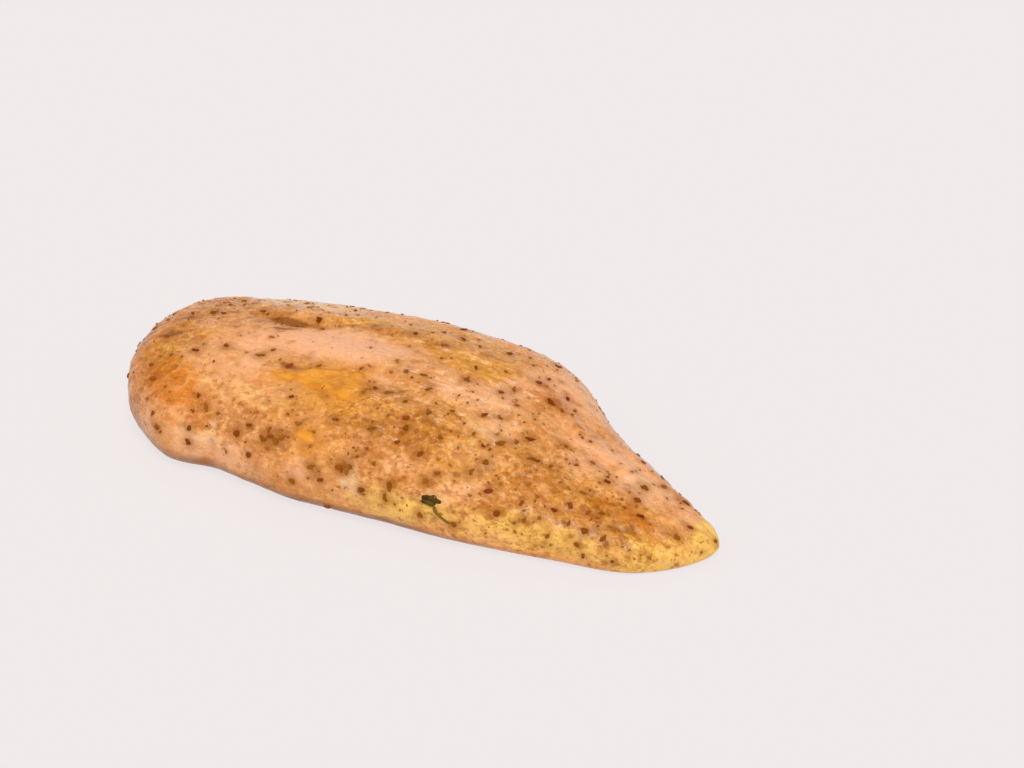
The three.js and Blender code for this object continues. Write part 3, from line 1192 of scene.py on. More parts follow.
    def masks(self, points: np.ndarray, out: np.ndarray) -> dict[Mask, np.ndarray]:
        """What the surface carries at each point.

        Args:
            points: Points on the form, in metres.
            out: The outward directions there.

        Returns:
            A value for each point, by mask.
        """
        near_by = self.wandered(points)
        zones = {
            Mask.BLUSH_AND_SHEEN: self.blush_and_sheen,
            Mask.GOLD: self.gold,
            Mask.BROWN_AND_SHADE: self.brown_and_shade,
            Mask.OIL: self.oil,
            Mask.FAT: self.fat,
            Mask.PALE_AND_HIGHLIGHT: self.pale,
        }
        upper = smoothstep(points[..., 2], *self.crease_height)
        return {mask: zone_sum(patches, near_by) for mask, patches in zones.items()} | {
            # spice in the seams, and painted shade along the fold
            Mask.SEAMS_AND_SHADE: zone_sum(self.seams, points, self.shaded_fold(points)) * upper,
            # painted shade where the side turns under, and the darker rim
            Mask.UNDERSIDE_SHADE_AND_RIM: zone_sum(self.rim, near_by, self.shaded_foot(points, out)),
            Mask.POOL: smoothstep(zone_sum(self.pools, near_by), *self.pool_border),
            Mask.SPICE: self.seasoned.amount(near_by),
            # the pebbles' hollows, where shade is painted
            Mask.HOLLOW_SHADE: -self.pebbles.at(points),
            # ridge tops, painted lighter as pale strands with highlight
            Mask.RIDGE_STRAND_AND_HIGHLIGHT: self.wrinkles(points),
        }

    def stains(self, points: np.ndarray, flakes: list[Flake]) -> np.ndarray:
        """How far the oil round each flake has taken its colour.

        Args:
            points: Points on the form, in metres.
            flakes: The flakes of the seasoning.

        Returns:
            A value for each point, 0 to 1.
        """
        order = np.argsort(points[:, 0])
        sorted_points = points[order]
        clear = np.ones(len(points))
        for flake in flakes:
            middle = np.array(flake.seat.point)
            reach = self.stain_reach * flake.length + self.stain_least
            window = middle[0] + reach * np.array([-self.stain_window, self.stain_window])
            first, last = np.searchsorted(sorted_points[:, 0], window)
            away = np.linalg.norm(sorted_points[first:last] - middle, axis=1)
            clear[first:last] *= 1 - (self.stain_depth - self.stain_paler * flake.light) * bump(away, reach)
        stained = np.empty(len(points))
        stained[order] = 1 - clear
        return stained

    def lofted(self, name: str) -> tuple[bpy.types.Mesh, np.ndarray, np.ndarray]:
        """A ball whose rings are to become the sections.

        Args:
            name: The mesh's name.

        Returns:
            The mesh, and the station and the angle of each of its vertices.
        """
        sphere = bmesh.new()
        bmesh.ops.create_uvsphere(sphere, u_segments=self.round, v_segments=self.rings, radius=1)
        mesh = stored(name, sphere)
        places = np.zeros(len(mesh.vertices) * 3)
        mesh.vertices.foreach_get("co", places)
        x, y, z = places.reshape(-1, 3).T
        station = np.arccos(np.clip(z, -1, 1)) / np.pi * self.form.last
        turn = np.arctan2(y, x)
        return mesh, station, turn + self.crowding * np.cos(turn)

    def build(self, flakes: list[Flake]) -> bpy.types.Object:
        """Makes the body.

        Args:
            flakes: The flakes of the seasoning, which stain the oil round them.

        Returns:
            The finished piece.
        """
        mesh, station, angle = self.lofted("fillet_flesh")
        points, _, out, _ = self.form.seats(station, angle)
        finished = points + out * self.detail(points)[..., None]
        mesh.vertices.foreach_set("co", finished.reshape(-1))
        for mask, values in self.masks(points, out).items():
            carry(mesh, mask, values)
        carry(mesh, Mask.STAIN, self.stains(points, flakes))
        mesh.polygons.foreach_set("use_smooth", [True] * len(mesh.polygons))
        return place_piece("fillet_flesh", mesh, self.finish.material())


@dataclass(frozen=True)
class OilFinish:
    """Amber oil, darker where it thins out over the meat."""

    deep: Colour = linear(232, 154, 40)
    thin: Colour = linear(206, 124, 34)
    mottle: Clouds = Clouds(1.8 * MM, 4.0, 1.5)
    mottle_strength: float = 2.4
    depth_strength: float = 0.7
    depth_fade: tuple[float, float] = (-0.3, 1.0)
    ripples: Clouds = Clouds(1.6 * MM, 3.0, 1.5)
    ripple_height: float = 0.35 * MM

    def material(self) -> bpy.types.Material:
        """The finish as a material.

        Returns:
            The material.
        """
        mix = Mixer("amber_oil")
        mottle = mix.times(mix.swing(self.mottle), self.mottle_strength)
        depth = mix.total(mix.times(mix.mask(Mask.DEPTH), self.depth_strength), mottle)
        colour = mix.blend(mix.fade(depth, *self.depth_fade), self.thin, self.deep)
        mix.set(Base_Color=colour, Roughness=0.2, Specular_IOR_Level=0.25)
        mix.relief(mix.clouds(self.ripples), self.ripple_height)
        return mix.material


@dataclass
class OilFilm:
    """The oil that stands in the hollows: its top lies even, and the meat's small lumps rise through it."""

    flesh: Flesh
    dry: float = -0.6 * MM
    full: float = 0.34 * MM
    search: float = 0.05
    edge: float = 0.2
    brim: float = 0.9
    deep: float = 0.45 * MM
    thickness: float = 0.5 * MM
    finish: OilFinish = field(default_factory=OilFinish)

    def build(self) -> bpy.types.Object:
        """Makes the film, closed and mostly sunk into the meat.

        Returns:
            The finished piece.
        """
        mesh, station, angle = self.flesh.lofted("oil_film")
        points, _, out, _ = self.flesh.form.seats(station, angle)
        share = zone_sum(self.flesh.pools, points)
        near_by = share > self.search
        share[near_by] = zone_sum(self.flesh.pools, self.flesh.wandered(points[near_by]))
        level = self.dry + (self.full - self.dry) * smoothstep(share, self.edge, self.brim)
        depth = np.zeros(len(points))
        depth[near_by] = np.clip((level[near_by] - self.flesh.detail(points[near_by])) / self.deep, 0, 1)
        mesh.vertices.foreach_set("co", (points + out * level[:, None]).reshape(-1))
        carry(mesh, Mask.DEPTH, depth)
        film = bmesh.new()
        film.from_mesh(mesh)
        film.verts.ensure_lookup_table()
        dry = [film.verts[index] for index in np.nonzero(share < self.edge)[0].tolist()]
        bmesh.ops.delete(film, geom=dry, context="VERTS")
        bmesh.ops.solidify(film, geom=film.faces[:], thickness=self.thickness)
        bmesh.ops.recalc_face_normals(film, faces=film.faces)
        for face in film.faces:
            face.smooth = True
        film.to_mesh(mesh)
        film.free()
        return place_piece("oil_film", mesh, self.finish.material())


@dataclass(frozen=True)
class SpiceFinish:
    """Dried and oiled spice: colours that change from flake to flake."""

    name: str
    tones: tuple[Colour, ...]
    wear: Clouds = Clouds(0.5 * MM, 3.0)
    wear_fade: tuple[float, float, float] = (0.35, 0.7, 0.4)
    grain: Clouds = Clouds(0.35 * MM, 3.0)
    grain_height: float = 0.12 * MM

    def material(self) -> bpy.types.Material:
        """The finish as a material.

        Returns:
            The material.
        """
        mix = Mixer(self.name)
        ramp = mix.add("ShaderNodeValToRGB")
        tones = ramp.color_ramp.elements
        tones[0].color = (*self.tones[0], 1)
        tones[1].color = (*self.tones[-1], 1)
        for index, tone in enumerate(self.tones[1:-1], 1):
            tones.new(index / (len(self.tones) - 1)).color = (*tone, 1)
        mix.feed(ramp.inputs[0], mix.mask(Mask.SHADE))
        wear = mix.fade(mix.clouds(self.wear), *self.wear_fade)
        mix.set(Base_Color=mix.blend(wear, ramp.outputs[0], self.tones[1]))
        mix.set(Roughness=0.6, Specular_IOR_Level=0.03)
        mix.relief(mix.clouds(self.grain), self.grain_height)
        return mix.material


@dataclass
class Sprinkle:
    """One piece made of many copies of a few small shapes."""

    name: str
    slot: str
    finish: SpiceFinish
    shapes: list[bpy.types.Mesh]
    height: float
    sunk: float
    seed: int
    heights: tuple[float, float] = (0.8, 1.2)
    tilt: float = 0.14
    own_light: float = 0.6
    more_light: float = 0.4

    def build(self, flakes: list[Flake]) -> bpy.types.Object:
        """Lays a copy of one of the shapes at each flake's place.

        Args:
            flakes: The flakes.

        Returns:
            The finished piece.
        """
        draw = np.random.default_rng(self.seed)
        whole = bmesh.new()
        shades: list[float] = []
        for flake in flakes:
            shape = self.shapes[int(draw.integers(len(self.shapes)))].copy()
            tall = self.height * draw.uniform(*self.heights)
            size = Matrix.Diagonal((flake.length, flake.width, tall, 1))
            tip = Matrix.Rotation(draw.uniform(-self.tilt, self.tilt), 4, (1, draw.uniform(-1, 1), 0))
            shape.transform(flake.seat.lay(flake.turn, tall * (0.5 - self.sunk)) @ tip @ size)
            whole.from_mesh(shape)
            shade = self.own_light * flake.light + draw.uniform(0, self.more_light)
            shades += [shade] * len(shape.vertices)
            bpy.data.meshes.remove(shape)
        bmesh.ops.recalc_face_normals(whole, faces=whole.faces)
        mesh = stored(self.name, whole)
        carry(mesh, Mask.SHADE, shades)
        return place_piece(self.name, mesh, self.finish.material())


@dataclass
class Shapes:
    """The small shapes that the seasoning is made of, each one unit long, wide and high."""

    draw: np.random.Generator = field(default_factory=lambda: np.random.default_rng(41))
    outward: float = 0.4
    narrowing: float = 0.8
    chip_height: float = 0.55
    chip_dents: float = 0.12
    chip_middle: float = 0.3
    chip_roughness: float = 0.06
    chip_sunk: float = 0.25
    grain_reach: tuple[float, float] = (0.88, 1.06)
    grain_break: float = 0.3
    crumb_reach: tuple[float, float] = (0.7, 1.1)

    def chip(self, sides: int, raggedness: float, pointed: float, curl: float) -> bpy.types.Mesh:
        """A crinkled chip of dried leaf or skin.

        Args:
            sides: How many corners its outline has.
            raggedness: How far the corners move in and out, as a share.
            pointed: How far its two ends are drawn to points, 0 to 1.
            curl: How far its ends curl up.

        Returns:
            The chip.
        """
        shape = bmesh.new()
        bmesh.ops.create_circle(shape, cap_ends=True, segments=sides, radius=0.5)
        for corner in shape.verts:
            corner.co *= 1 + self.draw.uniform(-raggedness, raggedness * self.outward)
            corner.co.y *= 1 - pointed * (2 * corner.co.x) ** 2 * self.narrowing
        top = bmesh.ops.extrude_face_region(shape, geom=shape.faces[:])
        raised = [item for item in top["geom"] if isinstance(item, bmesh.types.BMVert)]
        bmesh.ops.translate(shape, verts=raised, vec=(0, 0, self.chip_height))
        lids = [face for face in shape.faces if len(face.verts) == sides]
        for middle in bmesh.ops.poke(shape, faces=lids)["verts"]:
            middle.co += Vector(self.draw.uniform(-self.chip_dents, self.chip_dents, 3))
        for corner in shape.verts:
            bent = curl * (4 * corner.co.x**2 - self.chip_middle)
            rough = self.draw.uniform(-self.chip_roughness, self.chip_roughness)
            corner.co.z += bent + rough - self.chip_sunk
        bmesh.ops.recalc_face_normals(shape, faces=shape.faces)
        return stored("chip", shape)

    def grain(self, cuts: int) -> bpy.types.Mesh:
        """A cracked grain: a rough ball with some sides broken off.

        Args:
            cuts: How many sides are broken off.

        Returns:
            The grain.
        """
        shape = bmesh.new()
        bmesh.ops.create_icosphere(shape, subdivisions=2, radius=0.5)
        for corner in shape.verts:
            corner.co *= self.draw.uniform(*self.grain_reach)
        for _ in range(cuts):
            facing = Vector(self.draw.normal(size=3)).normalized()
            everything = shape.verts[:] + shape.edges[:] + shape.faces[:]
            cut_at = facing * self.grain_break
            bmesh.ops.bisect_plane(shape, geom=everything, plane_co=cut_at, plane_no=facing, clear_outer=True)
            open_edges = [edge for edge in shape.edges if edge.is_boundary]
            bmesh.ops.holes_fill(shape, edges=open_edges)
        bmesh.ops.triangulate(shape, faces=shape.faces[:])
        bmesh.ops.recalc_face_normals(shape, faces=shape.faces)
        return stored("grain", shape)

    def crumb(self) -> bpy.types.Mesh:
        """A crumb of ground spice.

        Returns:
            The crumb.
        """
        shape = bmesh.new()
        bmesh.ops.create_icosphere(shape, subdivisions=1, radius=0.5)
        for corner in shape.verts:
            corner.co *= self.draw.uniform(*self.crumb_reach)
        return stored("crumb", shape)


@dataclass(frozen=True)
class Scatter:
    """Flakes scattered by rule: the seed, how many, how far apart at least, and the longest and the shortest.

    Clumping tells how far they keep to loose clusters, from 0 for evenly to 1.
    """

    seed: int
    count: int
    spacing: float
    lengths: tuple[float, float]
    clumping: float = 0.0


@dataclass
class Seasoning:
    """The seasoning: the flakes that stand out, flakes scattered by rule, small bits, and fine dust.

    A notable flake is given by its kind, its place in millimetres along and in degrees round the section, its
    length and width in millimetres, and its turn in degrees. Smudges are too small to build, and only leave
    their stain on the body.
    """

    flesh: Flesh
    leaf: Flake
    scattered: Scatter = Scatter(90210, 122, 3.4 * MM, (3 * MM, 1.5 * MM))
    bits: Scatter = Scatter(1701, 300, 1.1 * MM, (1.5 * MM, 0.7 * MM), 0.9)
    smudges: Scatter = Scatter(4421, 600, 0.9 * MM, (1.4 * MM, 0.5 * MM), 0.8)
    dust: Scatter = Scatter(777, 520, 0.4 * MM, (1.0 * MM, 0.4 * MM), 1.0)
    kinds: tuple[Kind, ...] = (
        Kind.HERB,
        Kind.PEPPER,
        Kind.HERB,
        Kind.CHILLI,
        Kind.HERB,
        Kind.PEPPER,
        Kind.CHILLI,
        Kind.HERB,
    )
    tries: int = 40
    draws_each: int = 5
    seats_round: tuple[float, float] = (1.5, 177)
    even_area: float = 1500 * MM * MM
    clusters: Swells = Swells((6, 4.5, 4.5), 61.3)
    cluster_fade: tuple[float, float] = (-0.1, 0.3)
    slimness: tuple[float, float] = (0.45, 0.8)
    dullest: float = 0.4
    light_below: tuple[float, float] = (0.8 * MM, 2.6 * MM)
    notable: tuple[tuple[Kind, float, float, float, float, float], ...] = (
        (Kind.PEPPER, -69, 35, 2.4, 1.6, 30),
        (Kind.HERB, -87, 45, 1.8, 1.3, 80),
        (Kind.HERB, -85, 72, 2.4, 1.4, 35),
        (Kind.PEPPER, -76, 67, 2, 1.6, 20),
        (Kind.CHILLI, -63, 66, 3, 1.3, 10),
        (Kind.PEPPER, -61, 5, 2.4, 1.6, 20),
        (Kind.PEPPER, -50, 12, 1.8, 1.5, 30),
        (Kind.HERB, -47, 28, 2.8, 1.4, 110),
        (Kind.CHILLI, -51, 36, 2, 1, 110),
        (Kind.PEPPER, -35, 17, 2.6, 2.2, 50),
        (Kind.PEPPER, -32, 25, 2, 1.4, 20),
        (Kind.PEPPER, -30, 7, 1.9, 1.8, 40),
        (Kind.HERB, -43, 69, 2.6, 1.2, 30),
        (Kind.CHILLI, -25, 50, 1.6, 1.5, 0),
        (Kind.HERB, -10, 12, 3, 1.4, 25),
        (Kind.PEPPER, -7, 6, 2.2, 1.4, 20),
        (Kind.PEPPER, 5, 7, 2.4, 1.7, 20),
        (Kind.HERB, -52, 102, 4.6, 1.4, 15),
        (Kind.HERB, -44, 96, 3.6, 1.3, 15),
        (Kind.HERB, -72, 100, 2.6, 2.2, 60),
        (Kind.PEPPER, 8, 55, 2.2, 1.8, 30),
        (Kind.HERB, 2, 44, 3.4, 1.1, 30),
        (Kind.HERB, -1, 66, 3.4, 1.4, 35),
        (Kind.HERB, 0, 105, 3.4, 1.2, 30),
        (Kind.PEPPER, 17, 39, 2.8, 1.6, 110),
        (Kind.PEPPER, 24, 31, 1.9, 1.8, 30),
        (Kind.HERB, 22, 24, 2.6, 1.4, 25),
        (Kind.HERB, 34, 62, 3.4, 2, 50),
        (Kind.CHILLI, 38, 32, 2.4, 1.6, 20),
        (Kind.PEPPER, 42, 17, 2.2, 1.9, 40),
        (Kind.PEPPER, 31.4, 3, 1.9, 1.5, 100),
        (Kind.CHILLI, 36, 102, 3.4, 2, 5),
        (Kind.CHILLI, 39, 75, 3.4, 1.4, 30),
        (Kind.HERB, 43, 64, 3.8, 1.4, 30),
        (Kind.PEPPER, 64, 28, 2.5, 1.9, 20),
        (Kind.PEPPER, 71, 81, 2.4, 2, 40),
        (Kind.CHILLI, 74, 67, 2.4, 1.8, 30),
        (Kind.CHILLI, 26, 136, 2.2, 2, 0),
        (Kind.PEPPER, 85, 87, 2, 1.4, 30),
        (Kind.PEPPER, 47, 32, 1.9, 1.3, 90),
        (Kind.PEPPER, -5.5, -9, 2.6, 1.6, 10),
        (Kind.HERB, -26, 20, 2.8, 1.7, 160),
        (Kind.PEPPER, -24, 23, 2.5, 1.5, 20),
        (Kind.HERB, -22, 21, 2.8, 1.8, 140),
        (Kind.HERB, -20.3, 25, 2.4, 1.3, 30),
        (Kind.HERB, -25.3, 26, 1.9, 1.2, 80),
        (Kind.PEPPER, -2.2, 16, 2.4, 1.5, 20),
        (Kind.HERB, -0.6, 17.5, 2.6, 1.6, 35),
        (Kind.HERB, 0.9, 18.5, 2, 1.3, 150),
        (Kind.HERB, 0.2, 14, 1.8, 1.2, 80),
    )
    herb_finish: SpiceFinish = SpiceFinish(
        "dried_herbs",
        (linear(124, 68, 10), linear(148, 88, 20), linear(172, 108, 36), linear(194, 130, 54)),
    )
    pepper_finish: SpiceFinish = SpiceFinish(
        "cracked_pepper",
        (linear(122, 56, 10), linear(146, 76, 18), linear(168, 98, 32), linear(188, 118, 48)),
    )
    chilli_finish: SpiceFinish = SpiceFinish(
        "chilli_flakes",
        (linear(106, 34, 8), linear(136, 58, 16), linear(166, 86, 30), linear(192, 110, 46)),
    )
    dust_finish: SpiceFinish = SpiceFinish(
        "ground_spice",
        (linear(150, 82, 20), linear(180, 108, 36), linear(200, 132, 54)),
    )

    def candidates(self, draws: np.ndarray, clumping: float) -> tuple[np.ndarray, list[Seat]]:
        """Places by rule: even over the surface, and thinned where the seasoning lies thinly.

        Args:
            draws: Random draws in rows: how far along, how far round, and the luck that keeps a place.
            clumping: How far the places keep to loose clusters, 0 to 1.

        Returns:
            The rows that keep their place, and the places on the finished surface.
        """
        lowest, highest = self.seats_round
        angle = np.radians(lowest + (highest - lowest) * draws[:, 1])
        points, along, out, area = self.flesh.form.seats(draws[:, 0] * self.flesh.form.last, angle)
        chance = area / self.even_area * self.flesh.seasoned.amount(points)
        if clumping:
            clusters = smoothstep(self.clusters.at(points), *self.cluster_fade)
            chance = chance * (1 - clumping + clumping * clusters)
        keep = draws[:, 2] <= chance
        points, along, out = points[keep], along[keep], out[keep]
        points = points + out * self.flesh.detail(points)[:, None]
        return draws[keep], [Seat(*map(Vector, place)) for place in zip(points, along, out)]

    def standing(self) -> list[Flake]:
        """The flakes that stand out.

        Returns:
            The flakes.
        """
        return [
            Flake(kind, self.flesh.seat_at(along, degrees), length * MM, width * MM, turn)
            for kind, along, degrees, length, width, turn in self.notable
        ]

    def spread(self, taken: list[Flake], rule: Scatter) -> list[Flake]:
        """Flakes by rule, the longest first, clear of the ones before them.

        Args:
            taken: Flakes that already lie there.
            rule: How they are scattered.

        Returns:
            The new flakes.
        """
        flakes: list[Flake] = []
        held = np.zeros((len(taken) + rule.count, 3))
        held[: len(taken)] = [flake.seat.point for flake in taken]
        longest, shortest = rule.lengths
        slimmest, broadest = self.slimness
        draws = draws_from(rule.seed, self.tries * rule.count, self.draws_each)
        for row, seat in zip(*self.candidates(draws, rule.clumping)):
            if len(flakes) == rule.count:
                break
            filled = len(taken) + len(flakes)
            if np.linalg.norm(held[:filled] - np.array(seat.point), axis=1).min() < rule.spacing:
                continue
            held[filled] = seat.point
            length = longest + (shortest - longest) * math.sqrt(len(flakes) / rule.count)
            width = length * (slimmest + (broadest - slimmest) * row[3])
            small = float(1 - smoothstep(np.array(length), *self.light_below))
            light = (self.dullest + (1 - self.dullest) * row[4]) * small
            kind = self.kinds[len(flakes) % len(self.kinds)]
            flakes.append(Flake(kind, seat, length, width, row[4] * 180, light))
        return flakes

    def flakes(self) -> list[Flake]:
        """The flakes that stand out, the ones scattered by rule, and the small bits between them.

        Returns:
            The flakes, without the scrap of leaf.
        """
        standing = self.standing()
        flakes = standing + self.spread([*standing, self.leaf], self.scattered)
        return flakes + self.spread([*flakes, self.leaf], self.bits)

    def build(self, flakes: list[Flake]) -> list[bpy.types.Object]:
        """Makes the herbs, the pepper, the chilli and the dust.

        Args:
            flakes: Every flake.

        Returns:
            The finished pieces.
        """
        shapes = Shapes()
        leaves = [shapes.chip(sides=9, raggedness=0.6, pointed=0.0, curl=0.1) for _ in range(6)]
        leaves += [shapes.chip(sides=9, raggedness=0.45, pointed=0.6, curl=0.2) for _ in range(4)]
        grains = [shapes.grain(cuts=4) for _ in range(6)]
        skins = [shapes.chip(sides=8, raggedness=0.5, pointed=0.3, curl=0.3) for _ in range(5)]
        crumbs = [shapes.crumb() for _ in range(4)]
        herbs = Sprinkle("herb_flakes", "herbs", self.herb_finish, leaves, 0.4 * MM, sunk=0.4, seed=5)
        pepper = Sprinkle("pepper_grains", "pepper", self.pepper_finish, grains, 0.8 * MM, sunk=0.46, seed=6)
        chilli = Sprinkle("chilli_flakes", "chilli", self.chilli_finish, skins, 0.45 * MM, sunk=0.4, seed=7)
        dust = Sprinkle("spice_dust", "pepper", self.dust_finish, crumbs, 0.3 * MM, sunk=0.35, seed=8)
        pieces = []
        for kind, sprinkle in ((Kind.HERB, herbs), (Kind.PEPPER, pepper), (Kind.CHILLI, chilli)):
            pieces.append(sprinkle.build([flake for flake in flakes if flake.kind is kind]))
        return [*pieces, dust.build(self.spread(flakes, self.dust))]


@dataclass(frozen=True)
class LeafFinish:
    """A wilted, dark olive leaf, with a browner stalk."""

    green: Colour = linear(94, 74, 16)
    dark: Colour = linear(60, 42, 6)
    stalk: Colour = linear(128, 96, 26)
    veins: Clouds = Clouds(0.8 * MM, 3.0, 3.0)
    vein_fade: tuple[float, float] = (0.35, 0.65)
    creases: Clouds = Clouds(0.6 * MM, 2.0, 2.0)
    crease_height: float = 0.15 * MM

    def material(self) -> bpy.types.Material:
        """The finish as a material.

        Returns:
            The material.
        """
        mix = Mixer("green_leaf")
        leaf = mix.blend(mix.fade(mix.clouds(self.veins), *self.vein_fade), self.dark, self.green)
        colour = mix.blend(mix.mask(Mask.SHADE), leaf, self.stalk)
        mix.set(Base_Color=colour, Roughness=0.55, Specular_IOR_Level=0.1)
        mix.relief(mix.clouds(self.creases), self.crease_height)
        return mix.material


@dataclass
class Leaf:
    """The scrap of green leaf at the near edge, with its stalk.

    Places are in millimetres along and in degrees round the section, and the leaf's turn is in degrees.
    """

    flesh: Flesh
    along: float = 24.6
    degrees: float = 13
    length: float = 5 * MM
    width: float = 3 * MM
    turn: float = 10
    lift: float = 0.42 * MM
    corners: int = 20
    lobes: int = 5
    lobe_depth: float = 0.16
    bulge: float = 0.1
    border: float = 0.16
    thickness: float = 0.1
    crinkle: float = 0.05
    sunk: float = 0.03
    stalk_from: tuple[float, float] = (25.8, 9.5)
    stalk_to: tuple[float, float] = (30.4, 3)
    stalk_bow: float = 1.1
    stalk_radius: float = 0.45 * MM
    stalk_lift: float = 0.3
    stalk_points: int = 7
    stalk_sides: int = 8
    finish: LeafFinish = field(default_factory=LeafFinish)

    def flake(self) -> Flake:
        """The place that the leaf takes up among the flakes.

        Returns:
            A flake of its size.
        """
        seat = self.flesh.seat_at(self.along, self.degrees)
        return Flake(Kind.HERB, seat, self.length, self.width, self.turn)

    def blade(self, shape: bmesh.types.BMesh) -> None:
        """Adds the lobed, crinkled blade.

        Args:
            shape: The mesh in the making.
        """
        outline = bmesh.ops.create_circle(shape, cap_ends=True, segments=self.corners, radius=0.5)["verts"]
        for corner in outline:
            turn = math.atan2(corner.co.y, corner.co.x)
            lobe = self.lobe_depth * math.cos(self.lobes * turn + 0.6)
            corner.co *= 1 + lobe + self.bulge * math.cos(2 * turn + 0.5)
        lid = [face for face in shape.faces if len(face.verts) == len(outline)]
        bmesh.ops.inset_region(shape, faces=lid, thickness=self.border)
        bmesh.ops.poke(shape, faces=lid)
        bmesh.ops.solidify(shape, geom=shape.faces[:], thickness=self.thickness)
        seat = self.flesh.seat_at(self.along, self.degrees)
        size = Matrix.Diagonal((self.length, self.width, self.length, 1))
        for corner in shape.verts:
            lengthwise = self.crinkle * math.sin(9 * corner.co.x + 2)
            sideways = self.crinkle * math.sin(11 * corner.co.y)
            corner.co.z += lengthwise + sideways - self.sunk
        bmesh.ops.transform(shape, verts=shape.verts[:], matrix=seat.lay(self.turn, self.lift) @ size)

    def stalk(self, shape: bmesh.types.BMesh) -> None:
        """Adds the stalk, which follows the side of the fillet down from the leaf.

        Args:
            shape: The mesh in the making.
        """
        path = []
        for share in np.linspace(0, 1, self.stalk_points).tolist():
            along, degrees = (a + (b - a) * share for a, b in zip(self.stalk_from, self.stalk_to))
            seat = self.flesh.seat_at(along - self.stalk_bow * math.sin(math.pi * share), degrees)
            path.append(seat.point + seat.out * self.stalk_radius * self.stalk_lift)
        start = (path[1] - path[0]).to_track_quat("Z", "Y").to_matrix().to_4x4()
        start.translation = path[0]
        ring = bmesh.ops.create_circle(
            shape, cap_ends=True, segments=self.stalk_sides, radius=self.stalk_radius, matrix=start
        )["verts"]
        end = next(face for face in ring[0].link_faces)
        for before, after in zip(path, path[1:]):
            grown = bmesh.ops.extrude_discrete_faces(shape, faces=[end])
            end = grown["faces"][0]
            bmesh.ops.translate(shape, verts=end.verts[:], vec=after - before)
        bmesh.ops.holes_fill(shape, edges=[edge for edge in shape.edges if edge.is_boundary])

    def build(self) -> bpy.types.Object:
        """Makes the leaf and its stalk.

        Returns:
            The finished piece.
        """
        shape = bmesh.new()
        self.blade(shape)
        blade_count = len(shape.verts)
        self.stalk(shape)
        bmesh.ops.remove_doubles(shape, verts=shape.verts[:], dist=0.01 * MM)
        bmesh.ops.recalc_face_normals(shape, faces=shape.faces)
        shades = [0.0] * blade_count + [1.0] * (len(shape.verts) - blade_count)
        mesh = stored("leaf_scrap", shape)
        carry(mesh, Mask.SHADE, shades)
        return place_piece("leaf_scrap", mesh, self.finish.material())


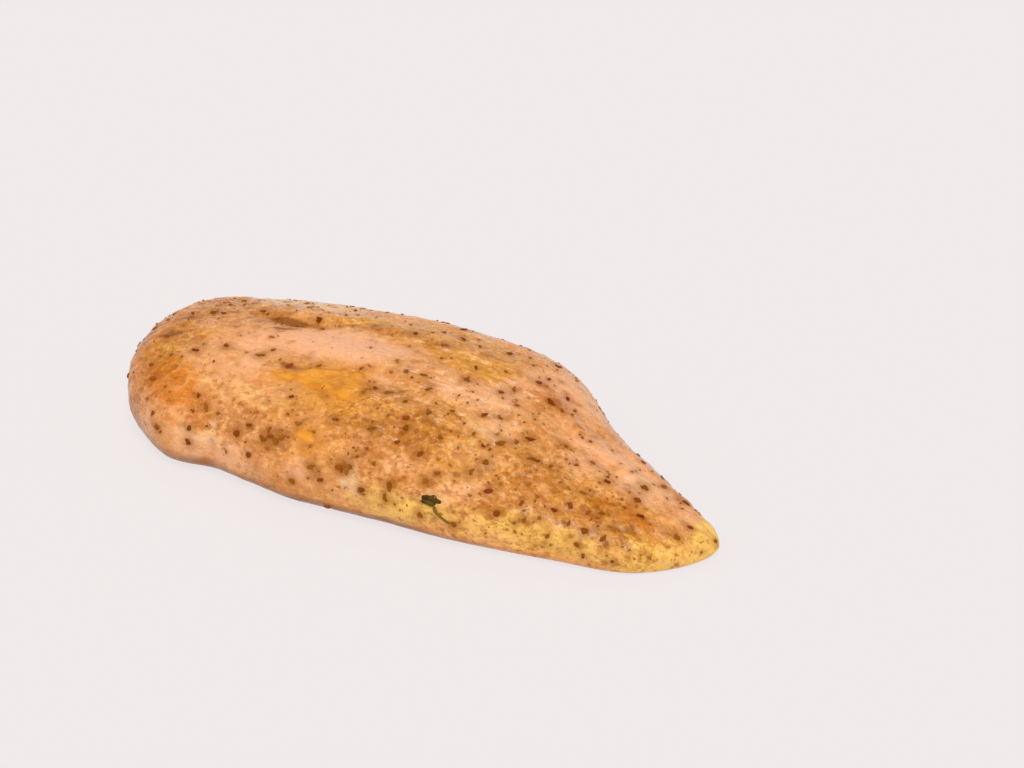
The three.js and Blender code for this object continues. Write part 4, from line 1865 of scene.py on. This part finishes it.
@dataclass
class Studio:
    """The pale floor, the soft light and the camera.

    A lamp is given by the direction that its light comes from, its breadth in degrees, and its strength.
    """

    floor_side: float = 8.0
    floor_colour: Colour = linear(241, 235, 235)
    floor_shade: float = 0.12
    floor_glow: float = 0.86
    sky: float = 0.35
    lamps: tuple[tuple[tuple[float, float, float], float, float], ...] = (
        ((0.3, -0.42, 0.86), 35, 2.12),
        ((-0.6, -0.45, 0.66), 40, 0.52),
        ((-0.3, 0.5, 0.8), 10, 0.35),
    )
    azimuth: float = math.radians(29)
    elevation: float = math.radians(30)
    distance: float = 546 * MM
    look_at: tuple[float, float, float] = (3.1 * MM, -5.4 * MM, 8 * MM)
    look_pixel: tuple[float, float] = (425, 437)
    frame_pixels: tuple[float, float] = (1024, 768)
    lens: float = 70
    sensor: float = 36

    def floor(self) -> None:
        """Makes the floor, which glows a little so that shadows on it stay faint."""
        shape = bmesh.new()
        bmesh.ops.create_grid(shape, x_segments=8, y_segments=8, size=self.floor_side / 2)
        mesh = stored("floor", shape)
        mix = Mixer("pale_floor")
        dull = tuple(share * self.floor_shade for share in self.floor_colour)
        mix.set(Base_Color=dull, Roughness=0.9, Specular_IOR_Level=0.0)
        mix.set(Emission_Color=self.floor_colour, Emission_Strength=self.floor_glow)
        mesh.materials.append(mix.material)
        floor = bpy.data.objects.new("floor", mesh)
        bpy.context.scene.collection.objects.link(floor)

    def lights(self) -> None:
        """Makes the soft light: an even sky and broad lamps."""
        world = bpy.data.worlds.new("studio")
        world.use_nodes = True
        tree = world.node_tree
        background = tree.nodes["Background"]
        background.inputs["Color"].default_value = (*self.floor_colour, 1)
        direction = tree.nodes.new("ShaderNodeTexCoord").outputs["Generated"]
        height = tree.nodes.new("ShaderNodeSeparateXYZ")
        fade = tree.nodes.new("ShaderNodeMapRange")
        for name, value in (("From Min", 0.08), ("From Max", 0.3), ("To Min", 1.0), ("To Max", self.sky)):
            fade.inputs[name].default_value = value
        tree.links.new(direction, height.inputs[0])
        tree.links.new(height.outputs["Z"], fade.inputs["Value"])
        tree.links.new(fade.outputs["Result"], background.inputs["Strength"])
        bpy.context.scene.world = world
        for number, (direction, breadth, strength) in enumerate(self.lamps):
            lamp = bpy.data.lights.new(f"lamp_{number}", "SUN")
            lamp.angle = math.radians(breadth)
            lamp.energy = strength
            holder = bpy.data.objects.new(f"lamp_{number}", lamp)
            holder.rotation_euler = Vector(direction).to_track_quat("Z", "Y").to_euler()
            bpy.context.scene.collection.objects.link(holder)

    def camera(self) -> None:
        """Sets up the camera, so that the point looked at lands on its place in the frame."""
        level = math.cos(self.elevation)
        sideways, nearer = math.sin(self.azimuth) * level, math.cos(self.azimuth) * level
        back = Vector((sideways, -nearer, math.sin(self.elevation)))
        turn = back.to_track_quat("Z", "Y")
        pixels = self.lens / self.sensor * self.frame_pixels[0]
        right = (self.look_pixel[0] - self.frame_pixels[0] / 2) / pixels * self.distance
        up = (self.frame_pixels[1] / 2 - self.look_pixel[1]) / pixels * self.distance
        data = bpy.data.cameras.new("camera")
        data.lens = self.lens
        data.sensor_width = self.sensor
        camera = bpy.data.objects.new("camera", data)
        camera.location = Vector(self.look_at) + back * self.distance - turn @ Vector((right, up, 0))
        camera.rotation_euler = turn.to_euler()
        bpy.context.scene.collection.objects.link(camera)
        bpy.context.scene.camera = camera

    def build(self) -> None:
        """Makes the whole studio."""
        bpy.context.scene.view_settings.view_transform = "Standard"
        self.floor()
        self.lights()
        self.camera()


def main() -> None:
    """Builds the fillet in order and reports each piece."""
    logging.basicConfig(level=logging.INFO, format="%(message)s")
    Studio().build()
    flesh = Flesh()
    leaf = Leaf(flesh)
    seasoning = Seasoning(flesh, leaf.flake())
    flakes = seasoning.flakes()
    body = flesh.build(flakes + seasoning.spread(flakes, seasoning.smudges))
    pieces = [body, OilFilm(flesh).build(), *seasoning.build(flakes), leaf.build()]
    for piece in pieces:
        piece.data.calc_loop_triangles()
        LOG.info("%s: %d triangles", piece.name, len(piece.data.loop_triangles))


if __name__ == "__main__":
    main()
